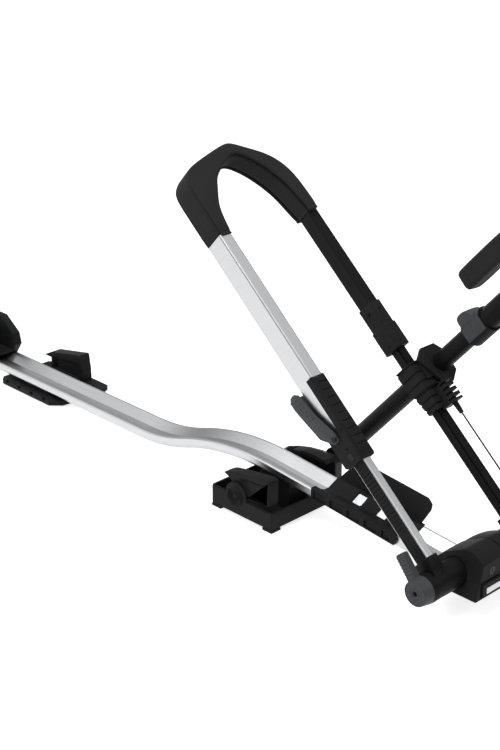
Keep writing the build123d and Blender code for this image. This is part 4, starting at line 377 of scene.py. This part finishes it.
tray_metal = brushed_metal("satin aluminium, tray", 0.0,
                           (0.43, 0.435, 0.44), (0.63, 0.635, 0.64), 0.34)
leg_metal = brushed_metal("satin aluminium, legs", LEG_TURN,
                          (0.44, 0.445, 0.45), (0.58, 0.585, 0.59), 0.34)
plated_steel = brushed_metal("plated steel", 0.0,
                             (0.36, 0.36, 0.37), (0.54, 0.54, 0.55), 0.30, 500.0)
dark_steel = brushed_metal("darkened steel", 0.0,
                           (0.010, 0.010, 0.011), (0.026, 0.026, 0.028), 0.34, 500.0)
print("metals", tray_metal.name, leg_metal.name, plated_steel.name, dark_steel.name)


# %% Moulded and coated finishes
def dull_finish(name, dark, light, roughness, gloss, grain_scale, bump, worn_and_highlight_edge_tone, wear_and_highlight_strength):
    """Plastic, rubber or powder coat: grain, slow changes of tone, and edges made lighter, partly as wear
    and partly as a painted highlight.
    """
    material, tree, shader = bare_material(name)
    skin = add_group(tree, grain, Scale=grain_scale)
    edges = add_group(tree, wear_and_highlight_edges, Strength=wear_and_highlight_strength)
    tone = tone_mix(tree, skin.outputs["Patch"], dark, light)
    # Edges lightened in the base colour: partly wear, partly a painted highlight.
    worn_and_highlighted = tone_mix(tree, edges.outputs["Edge"], tone, worn_and_highlight_edge_tone)
    tree.links.new(worn_and_highlighted, shader.inputs["Base Color"])
    rough = scaled(tree, skin.outputs["Grain"], 0.16, roughness - 0.08)
    tree.links.new(rough, shader.inputs["Roughness"])
    shader.inputs["Specular IOR Level"].default_value = gloss
    add_bump(tree, shader, skin.outputs["Grain"], bump, 0.15 * MM)
    return material


# In each finish the third colour is the edge tone, partly wear and partly a painted highlight, and the last
# number is its strength.
finishes = {
    "satin_aluminium": tray_metal,
    "bright_steel": plated_steel,
    "black_aluminium": dull_finish(
        "black powder coat", (0.006, 0.006, 0.0065), (0.012, 0.012, 0.013), 0.38, 0.06,
        900.0, 0.12, (0.05, 0.05, 0.052), 1.0),
    "black_plastic": dull_finish(
        "textured black plastic", (0.012, 0.012, 0.013), (0.024, 0.024, 0.025), 0.48, 0.05,
        1400.0, 0.30, (0.06, 0.06, 0.062), 1.2),
    "grey_plastic": dull_finish(
        "smooth grey plastic", (0.046, 0.049, 0.054), (0.062, 0.066, 0.072), 0.42, 0.18,
        1100.0, 0.15, (0.14, 0.145, 0.15), 1.0),
    "black_rubber": dull_finish(
        "soft black rubber", (0.018, 0.018, 0.019), (0.032, 0.032, 0.033), 0.62, 0.06,
        700.0, 0.40, (0.07, 0.07, 0.072), 0.8),
}
BRIGHT_LEGS = ("near_upper_tube", "near_lower_bar")
DARK_STEEL = ("lock_cylinder", "lever_screws", "ratchet_pawl", "release_cable", "claw_rivets",
              "clamp_lever_pin")
for name, piece in nodes.items():
    finish = finishes[slot_of_node[name]]
    if name in BRIGHT_LEGS:
        finish = leg_metal
    if name in DARK_STEEL:
        finish = dark_steel
    piece.data.materials.clear()
    piece.data.materials.append(finish)
print("finishes on", len(nodes), "pieces")

# %% [markdown]
# ## Rounded edges
# A moulding never has sharp edges: they catch the light as thin bright lines. A Bevel modifier on the CAD
# piece would change a mesh that has to stay as it is. So the piece's mesh is copied, its loose
# triangles are joined into faces, and the sharp edges of the copy are bevelled.


# %% Helper for rounded copies
SAME_POINT = 0.01 * MM
SAME_FACE = math.radians(1.0)


def finish_mesh(bm, name, material, smooth_angle=38):
    """Turns a bmesh into a piece with smooth rounds and crisp corners."""
    for face in bm.faces:
        face.smooth = True
    for edge in bm.edges:
        if len(edge.link_faces) == 2:
            edge.smooth = edge.calc_face_angle(0) < math.radians(smooth_angle)
    mesh = bpy.data.meshes.new(name)
    bm.to_mesh(mesh)
    bm.free()
    mesh.materials.append(material)
    piece = bpy.data.objects.new(name, mesh)
    bpy.context.scene.collection.objects.link(piece)
    return piece


def round_edges(bm, width, segments, edge_angle):
    """Bevels the edges that are sharper than edge_angle, in degrees."""
    sharp = [edge for edge in bm.edges
             if len(edge.link_faces) == 2 and edge.calc_face_angle(0) > math.radians(edge_angle)]
    bmesh.ops.bevel(bm, geom=sharp, offset=width, segments=segments, affect="EDGES", profile=0.5,
                    material=-1, clamp_overlap=False)
    bmesh.ops.remove_doubles(bm, verts=bm.verts, dist=SAME_POINT)


def join_triangles(bm):
    """Merges a CAD mesh's loose triangles into whole faces."""
    bmesh.ops.remove_doubles(bm, verts=bm.verts, dist=SAME_POINT)
    bmesh.ops.dissolve_limit(bm, angle_limit=SAME_FACE, verts=bm.verts, edges=bm.edges)


def rounded_copy(node, width, segments=2, edge_angle=40):
    """A copy of a CAD node with rounded edges, which stands for it."""
    bm = bmesh.new()
    bm.from_mesh(nodes[node].data)
    join_triangles(bm)
    round_edges(bm, width, segments, edge_angle)
    piece = finish_mesh(bm, node + "_moulded", nodes[node].data.materials[0])
    shading = piece.modifiers.new("even shading", "WEIGHTED_NORMAL")
    shading.keep_sharp = True
    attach(piece, body_of_node[node])
    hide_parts(node)
    return piece


# %% Rounded pieces
ROUNDED = {
    "base_housing": 2.0, "front_cover": 0.8, "front_foot_shell": 3.0, "front_jaw": 3.0,
    "arm_bracket": 1.2, "arm_clamp": 0.8, "cable_block": 0.3,
    "latch_plate_near": 0.8, "latch_plate_far": 0.8, "arm_block": 1.2, "far_collar": 1.0,
    "ratchet_body": 1.2, "ratchet_grip": 0.7, "release_lever": 0.5, "lock_knob": 0.7,
    "clamp_collar": 0.8, "wheel_cradle": 0.7, "cradle_rail": 0.6,
    "rear_foot_plate": 0.7, "rear_claw": 1.2, "rear_wheel_holder": 1.2, "strap_buckle": 0.5,
    "buckle_lever": 0.5, "tray_rear_cap": 0.5,
}
for node, width in ROUNDED.items():
    rounded_copy(node, width * MM)
print("rounded", len(ROUNDED), "pieces")

# %% [markdown]
# ## The padded hook
# The hook that leans on the bicycle's frame has a thick soft cover with sewn seams along its edges.
# It could be swelled from a block by a cloth simulation, but its seams run along the whole hook. So it is
# lofted: one section with its seams, placed along the hook, with bridged loops between the
# sections and a Subdivision Surface to soften it.

# %% The legs' own frame
BARREL_AXIS = Vector((466.0, 0.0, 69.0))
LEG_LIFT = 16.2
LEG_DIR = Vector((-math.cos(LEG_TURN), 0, math.sin(LEG_TURN)))
LEG_UP = Vector((math.sin(LEG_TURN), 0, math.cos(LEG_TURN)))
LEG_START = BARREL_AXIS + LEG_UP * LEG_LIFT


def leg_point(along, above, across):
    """A point in the legs' frame, given in millimetres."""
    return (LEG_START + LEG_DIR * along + LEG_UP * above + Vector((0, across, 0))) * MM


# %% Helper for lofts
def loft(rings, name, material, smooth_angle=180):
    """Bridges each ring of points to the next and closes both ends."""
    bm = bmesh.new()
    loops = []
    for ring in rings:
        corners = [bm.verts.new(point) for point in ring]
        loops.append([bm.edges.new((corners[i - 1], corners[i])) for i in range(len(corners))])
    for first, second in zip(loops, loops[1:]):
        bmesh.ops.bridge_loops(bm, edges=first + second)
    for loop in (loops[0], loops[-1]):
        bmesh.ops.contextual_create(bm, geom=loop)
    bmesh.ops.recalc_face_normals(bm, faces=bm.faces)
    return finish_mesh(bm, name, material, smooth_angle)


# %% Hook pad
PAD_HALF = 26.0
PAD_START = 690.0
PAD_HEIGHT = 176.0
PAD_HALF_WIDTH = 123.0
CUSHION_ROUND = 13.0
SOFT_LEVELS = 2
# Stations along the hook: outside (along, across) and inside (along, across), as shares
HOOK_STATIONS = [
    ((0.0, -1.0), (0.0, -0.78)), ((0.012, -1.0), (0.012, -0.78)), ((0.032, -1.0), (0.032, -0.78)),
    ((0.05, -1.0), (0.05, -0.78)), ((0.22, -1.0), (0.18, -0.76)),
    ((0.48, -1.0), (0.34, -0.70)), ((0.68, -1.0), (0.47, -0.58)), ((0.79, -0.88), (0.56, -0.50)),
    ((0.86, -0.66), (0.65, -0.42)), ((0.93, -0.30), (0.75, -0.19)), ((0.985, 0.0), (0.84, 0.02)),
    ((0.99, 0.14), (0.85, 0.17)), ((0.91, 0.32), (0.77, 0.32)), ((0.83, 0.52), (0.66, 0.46)),
    ((0.72, 0.75), (0.53, 0.575)), ((0.52, 0.93), (0.38, 0.68)), ((0.28, 0.965), (0.20, 0.735)),
    ((0.05, 0.98), (0.05, 0.78)), ((0.032, 0.98), (0.032, 0.78)), ((0.012, 0.98), (0.012, 0.78)),
    ((0.0, 0.98), (0.0, 0.78)),
]
# How far the section is drawn in at a hem, by the number of the station from either end
HEM_DEPTHS = {0: 1.3, 2: 2.0}


def pad_ring(outside, inside, tight):
    """The pad's section at a station: seams at its outer edges, a soft cushion inside."""
    out_point = Vector((PAD_START + outside[0] * PAD_HEIGHT, outside[1] * PAD_HALF_WIDTH))
    in_point = Vector((PAD_START + inside[0] * PAD_HEIGHT, inside[1] * PAD_HALF_WIDTH))
    width = (in_point - out_point).length
    step = (in_point - out_point) / width
    half = PAD_HALF - tight
    belly = min(width / 2, CUSHION_ROUND)
    section = [
        (0, 0), (0, half - 9), (0.2, half - 5.0), (3.6, half - 3.4), (3.6, half - 2.4), (0.8, half - 1.2),
        (2.8, half - 0.2), (belly, half), (width - 6, half), (width - 1.6, half - 0.8), (width, half - 3.2),
        (width - 1.0, half - 5.2), (width - 6.5, half - 6.2), (width - 6.5, half - 7.8),
        (width - 0.4, half - 9.0), (width, half - 15), (width, 0)]
    mirrored = [(x, -z) for x, z in reversed(section[1:-1])]
    ring = []
    for x, z in section + mirrored:
        place = out_point + step * (min(max(x, tight), width - tight))
        ring.append(leg_point(place.x, z, place.y))
    return ring


hook_rings = []
for i, (outside, inside) in enumerate(HOOK_STATIONS):
    tight = HEM_DEPTHS.get(min(i, len(HOOK_STATIONS) - 1 - i), 0.0)
    hook_rings.append(pad_ring(outside, inside, tight))
hook_cover = loft(hook_rings, "hook_cover", finishes["black_rubber"])
soften = hook_cover.modifiers.new("soft form", "SUBSURF")
soften.levels = soften.render_levels = SOFT_LEVELS
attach(hook_cover, "hook_slider")
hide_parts("hook_pad")
print("hook cover", len(hook_cover.data.vertices), "points")

# %% [markdown]
# ## The front hook's cover
# The front arm ends in a hook too, with the same soft cover: square, with rounded corners and a seam
# along each edge. It is lofted along its J the same way, and its free end is drawn in to a
# rounded tip.

# %% The front arm's own frame
ARM_ANGLE = math.radians(48.3)
ARM_DIR = Vector((math.cos(ARM_ANGLE), 0, math.sin(ARM_ANGLE)))
ARM_BACK = Vector((-math.sin(ARM_ANGLE), 0, math.cos(ARM_ANGLE)))
ARM_PIVOT = Vector((19.0, 0, 60.0))
ARM_Y = 146.0
J_FREE_Y = -75.0
J_RISE = 15.0
J_HALF = 17.5
J_TOP = 845.0
J_START = 760.0
J_FREE_END = 700.0
J_BEND = 44.0
J_BEND_STEPS = 4
J_ROOT = 3.0
J_TIP_STEPS = (40, 9, 2, 0)
J_ROOT_SIZES = [0.95, 1.0]
J_TIP_SIZES = [1.0, 0.93, 0.72]
J_WIDE = math.hypot(ARM_Y - J_FREE_Y, J_RISE)
J_ACROSS = Vector((0, J_FREE_Y - ARM_Y, 0)) + ARM_BACK * J_RISE
J_ACROSS.normalize()
J_NORMAL = ARM_DIR.cross(J_ACROSS)


def j_point(along, across, out):
    """A point of the front hook: along the tube, across to the free leg, and off its plane."""
    start = ARM_PIVOT + Vector((0, ARM_Y, 0))
    return (start + ARM_DIR * along + J_ACROSS * across + J_NORMAL * out) * MM


# %% Front hook cover
def j_path():
    """Stations of the J: place, and the direction out of the curve."""
    stations = [((along, 0), (0, -1)) for along in (J_START, J_START + J_ROOT, J_TOP - J_BEND)]
    for corner, first in (((J_TOP - J_BEND, J_BEND), 180), ((J_TOP - J_BEND, J_WIDE - J_BEND), 90)):
        for i in range(J_BEND_STEPS + 1):
            turn = math.radians(first - 90 * i / J_BEND_STEPS)
            side = (math.sin(turn), math.cos(turn))
            stations.append(((corner[0] + J_BEND * side[0], corner[1] + J_BEND * side[1]), side))
    return stations + [((J_FREE_END + step, J_WIDE), (0, 1)) for step in J_TIP_STEPS]


def j_ring(place, side, size):
    """The cover's square section, with a seam along its outer edges."""
    h = J_HALF * size
    section = [(h, 0), (h, h - 5.5), (h - 0.7, h - 3.4), (h - 2.6, h - 2.6), (h - 3.4, h - 0.7),
               (h - 5.5, h), (0, h), (-h + 6, h), (-h + 1.8, h - 1.8), (-h, h - 6), (-h, 0)]
    mirrored = [(a, -b) for a, b in reversed(section[1:-1])]
    return [j_point(place[0] + side[0] * a, place[1] + side[1] * a, b)
            for a, b in section + mirrored]


path = j_path()
plain = len(path) - len(J_ROOT_SIZES) - len(J_TIP_SIZES)
sizes = J_ROOT_SIZES + [1.0] * plain + J_TIP_SIZES
front_rings = [j_ring(place, side, size) for (place, side), size in zip(path, sizes)]
front_cover_pad = loft(front_rings, "front_hook_cover", finishes["black_rubber"])
soften = front_cover_pad.modifiers.new("soft form", "SUBSURF")
soften.levels = soften.render_levels = SOFT_LEVELS
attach(front_cover_pad, "front_hook")
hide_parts("front_hook_pad")
print("front hook cover", len(front_cover_pad.data.vertices), "points")

# %% [markdown]
# ## The clamp lever
# The front arm's clamp is closed with a grey lever. It lies round the clamp's ring, so that its side and the
# ring's flat side make one surface. A block with a hole cut through it would do, but a loft of the
# same section along the arm gives it its rounded end and its thin edges in one go.

# %% Clamp lever
RING_R = 25.6
LEVER_THIN = 1.0
LEVER_SMOOTH = 32
# Along the arm, with the lever's height there; and across the arm, with the drop from that height
LEVER_STATIONS = [(459.4, 28.0), (461, 32.5), (464, 35.0), (468, 36.2), (473, 36.4), (478, 36.2),
                  (484, 35.0), (489, 32.0), (493, 27.5), (495.5, 21.5), (496.4, 17.0)]
LEVER_EDGES = [(124.7, 2.4), (125.3, 0.8), (127.2, 0.0), (132, 0.0), (139, 0.0), (146, 0.0),
               (153, 0.0), (159, 0.8), (163, 3.4), (165.5, 8.0), (166.6, 13.0)]


def over_ring(across, radius):
    """Height of a circle round the arm at a place across it."""
    return math.sqrt(max(radius ** 2 - (across - ARM_Y) ** 2, 0.0))


def arm_place(along, back, across):
    """A point in the front arm's frame, given in millimetres."""
    return (ARM_PIVOT + ARM_DIR * along + ARM_BACK * back + Vector((0, across, 0))) * MM


def lever_ring(along, height):
    """The lever's section: its back over the ring, and its hollow that lies on the ring."""
    ring = [arm_place(along, max(height - drop, over_ring(across, RING_R + LEVER_THIN)), across)
            for across, drop in LEVER_EDGES]
    return ring + [arm_place(along, over_ring(across, RING_R), across)
                   for across, _ in reversed(LEVER_EDGES)]


lever_rings = [lever_ring(along, height) for along, height in LEVER_STATIONS]
lever = loft(lever_rings, "grey_clamp_lever", finishes["grey_plastic"], LEVER_SMOOTH)
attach(lever, body_of_node["clamp_lever"])
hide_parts("clamp_lever")

# %% The ring's far side is black
collar = bpy.data.objects["clamp_collar_moulded"]
collar.data.materials.append(finishes["black_plastic"])
GREY_LOW = -14.0
RING_END = 506.0
for face in collar.data.polygons:
    from_pivot = face.center / MM - ARM_PIVOT
    if from_pivot.dot(ARM_BACK) < GREY_LOW or from_pivot.dot(ARM_DIR) > RING_END:
        face.material_index = 1
print("clamp lever", len(lever.data.vertices), "points")

# %% [markdown]
# ## Ribs and rings
# Small raised lines tell a hand where to press: ribs on the release lever, and rings on the knob and the
# barrel. They could be drawn as a bump in the finish. As thin rods and rings they also show in the outline
# and catch the light.


# %% Helpers for rods, rings and plates
def add_rod(bm, start, end, radius, segments=16):
    """Adds a round bar between two points."""
    span = end - start
    turn = span.to_track_quat("Z", "Y").to_matrix().to_4x4()
    bmesh.ops.create_cone(bm, cap_ends=True, segments=segments, radius1=radius, radius2=radius,
                          depth=span.length, matrix=Matrix.Translation((start + end) / 2) @ turn)


def add_tube(bm, middle, direction, radius, thick, segments=72, around=10):
    """Adds a ring: a small circle spun about an axis."""
    turn = direction.to_track_quat("Z", "Y").to_matrix()
    side = turn @ Vector((1, 0, 0))
    across = direction.normalized().cross(side)
    frame_turn = Matrix((side, direction.normalized(), across)).transposed().to_4x4()
    made = bmesh.ops.create_circle(bm, segments=around, radius=thick,
                                   matrix=Matrix.Translation(middle + side * radius) @ frame_turn)
    edges = list({edge for vert in made["verts"] for edge in vert.link_edges})
    bmesh.ops.spin(bm, geom=made["verts"] + edges, cent=middle, axis=direction, angle=math.tau,
                   steps=segments, use_merge=True)


def leg_plate(bm, points, near, far):
    """Adds a plate in the legs' side plane, between two places across."""
    face = bm.faces.new([bm.verts.new(leg_point(along, above, far)) for along, above in points])
    grown = bmesh.ops.extrude_face_region(bm, geom=[face])
    moved = [part for part in grown["geom"] if isinstance(part, bmesh.types.BMVert)]
    bmesh.ops.translate(bm, vec=(0, (near - far) * MM, 0), verts=moved)


def small_piece(bm, name, node):
    """Turns a bmesh of small details into a piece of a node's body and finish."""
    bmesh.ops.recalc_face_normals(bm, faces=bm.faces)
    piece = finish_mesh(bm, name, nodes[node].data.materials[0])
    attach(piece, body_of_node[node])
    return piece


# %% Plate and ribs of the release lever
PADDLE = [(284, -9), (290, 3), (300, 2), (340, -13), (376, -20), (388, -23), (394, -32), (393, -43),
          (385, -50), (372, -50), (338, -42), (305, -31)]
PADDLE_NEAR = -133.0
PADDLE_THICK = 4.0
PADDLE_ROUND, PADDLE_SEGMENTS, PADDLE_SHARP = 1.4, 3, 60
RIBS, RIB_START, RIB_STEP, RIB_RADIUS = 6, 340.0, 8.5, 1.2
RIB_EDGE, RIB_FALL = -14.0, 0.30      # the paddle's upper edge at the first rib, and its slope
RIB_TOP, RIB_FOOT, RIB_LEAN = 5, 22, 3
bm = bmesh.new()
leg_plate(bm, PADDLE, PADDLE_NEAR, PADDLE_NEAR + PADDLE_THICK)
bmesh.ops.recalc_face_normals(bm, faces=bm.faces)
round_edges(bm, PADDLE_ROUND * MM, PADDLE_SEGMENTS, PADDLE_SHARP)
for i in range(RIBS):
    along = RIB_START + RIB_STEP * i
    above = RIB_EDGE - RIB_FALL * (along - RIB_START)
    top = leg_point(along, above - RIB_TOP, PADDLE_NEAR)
    foot = leg_point(along + RIB_LEAN, above - RIB_FOOT, PADDLE_NEAR)
    add_rod(bm, top, foot, RIB_RADIUS * MM)
small_piece(bm, "release_paddle", "release_lever")

# %% Rings on the knob and the barrel
BARREL_RADIUS = 26.0
KNOB_FACE, KNOB_RINGS, KNOB_WIRE = -157.2, (8.5, 13.0, 20.5), 0.9
BARREL_RINGS, BARREL_WIRE, BARREL_SEGMENTS = (-131.5, -127.0), 0.5, 96


def on_barrel(across):
    """A point of the barrel's axis, in metres."""
    return (BARREL_AXIS + Vector((0, across, 0))) * MM


bm = bmesh.new()
for radius in KNOB_RINGS:
    add_tube(bm, on_barrel(KNOB_FACE), Vector((0, 1, 0)), radius * MM, KNOB_WIRE * MM)
small_piece(bm, "knob_rings", "lock_knob")
bm = bmesh.new()
for across in BARREL_RINGS:
    add_tube(bm, on_barrel(across), Vector((0, 1, 0)), BARREL_RADIUS * MM, BARREL_WIRE * MM,
             BARREL_SEGMENTS)
small_piece(bm, "barrel_rings", "arm_barrel")
print("ribs and rings")

# %% [markdown]
# ## The barrel and the rack
# The arm's barrel is a plain tube with a socket for each leg, and the rack is a strip with teeth. Rounded
# copies would keep their sharp joints. Built from a cylinder, plates and boxes, the barrel gets its own
# small rounds; the rack is built from boxes, and its teeth end short of the strip's edge, which leaves the
# bright line beside them.

# %% Helper for boxes on the legs
LEG_TURNED = Matrix((LEG_DIR, LEG_UP, Vector((0, 1, 0)))).transposed().to_4x4()


def leg_box(bm, along, above, across):
    """Adds a box in the legs' frame; each argument is a pair of millimetres."""
    pairs = (along, above, across)
    middle = leg_point(*[(low + high) / 2 for low, high in pairs])
    size = Matrix.Diagonal([(high - low) * MM for low, high in pairs] + [1.0])
    bmesh.ops.create_cube(bm, size=1.0, matrix=Matrix.Translation(middle) @ LEG_TURNED @ size)


# %% Barrel
BARREL_ENDS = (-136.8, 123.8)
SOCKET_SIDE = [(40, -19), (40, 19), (24, 19), (13, 14), (4, 8), (4, -19)]
SOCKETS = ((-123.0, -99.0), (99.0, 123.0))
CABLE_EAR = ((22, 29), (15, 42), (114, 122))
BARREL_ROUND, BARREL_ROUND_STEPS, BARREL_SHARP = 1.2, 3, 25
bm = bmesh.new()
add_rod(bm, on_barrel(BARREL_ENDS[0]), on_barrel(BARREL_ENDS[1]), BARREL_RADIUS * MM, BARREL_SEGMENTS)
for near, far in SOCKETS:
    leg_plate(bm, SOCKET_SIDE, near, far)
leg_box(bm, *CABLE_EAR)
bmesh.ops.recalc_face_normals(bm, faces=bm.faces)
round_edges(bm, BARREL_ROUND * MM, BARREL_ROUND_STEPS, BARREL_SHARP)
barrel = finish_mesh(bm, "barrel_casting", nodes["arm_barrel"].data.materials[0])
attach(barrel, body_of_node["arm_barrel"])
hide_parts("arm_barrel")

# %% Rack
RACK_STRIP = ((40.3, 470), (-12.5, 13.5), (-120.7, -119.5))
RACK_TEETH, TEETH_START, TOOTH_STEP, TOOTH_WIDE = 36, 96.0, 7.5, 4.65
TOOTH_ABOVE, TOOTH_ACROSS = (-10.0, 13.5), (-122.1, -120.6)
bm = bmesh.new()
leg_box(bm, *RACK_STRIP)
for i in range(RACK_TEETH):
    start = TEETH_START + TOOTH_STEP * i
    leg_box(bm, (start, start + TOOTH_WIDE), TOOTH_ABOVE, TOOTH_ACROSS)
rack = finish_mesh(bm, "toothed_rack", nodes["ratchet_rack"].data.materials[0])
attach(rack, body_of_node["ratchet_rack"])
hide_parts("ratchet_rack")
print("barrel and rack")

# %% [markdown]
# ## Screws
# The mouldings on the legs are held by screws, and the CAD has no heads for them. They could be a dark ring
# in the finish. A head is a short cylinder with a sunk top instead, which catches the light; built once as
# a function, it is placed on the ratchet and on the far collar.


# %% Helper for screw heads
def add_screw(bm, place, out, radius):
    """A flat screw head with a sunk top; all in metres."""
    turn = out.to_track_quat("Z", "Y").to_matrix().to_4x4()
    grip = Matrix.Translation(place) @ turn
    made = bmesh.ops.create_cone(bm, cap_ends=True, segments=24, radius1=radius, radius2=radius * 0.88,
                                 depth=radius * 0.7, matrix=grip)
    top = max((face for vert in made["verts"] for face in vert.link_faces),
              key=lambda face: face.calc_center_median().dot(out))
    bmesh.ops.inset_region(bm, faces=[top], thickness=radius * 0.45)
    bmesh.ops.translate(bm, vec=-out * radius * 0.4, verts=top.verts)


# %% Screws
SIDEWAYS = Vector((0, -1, 0))
SIDE_SCREW, TOP_SCREW = 3.0, 2.6
bm = bmesh.new()
for place in ((262, 2, -127.9), (295, 16, -128.0)):
    add_screw(bm, leg_point(*place), SIDEWAYS, SIDE_SCREW * MM)
small_piece(bm, "ratchet_screws", "ratchet_body")
bm = bmesh.new()
for along in (400.0, 470.0):
    add_screw(bm, leg_point(along, 0, 95.4), SIDEWAYS, SIDE_SCREW * MM)
    add_screw(bm, leg_point(along, 20.8, 111.0), LEG_UP, TOP_SCREW * MM)
small_piece(bm, "collar_screws", "far_collar")
print("screws")

# %% Finish
bpy.context.scene.view_settings.view_transform = "Standard"
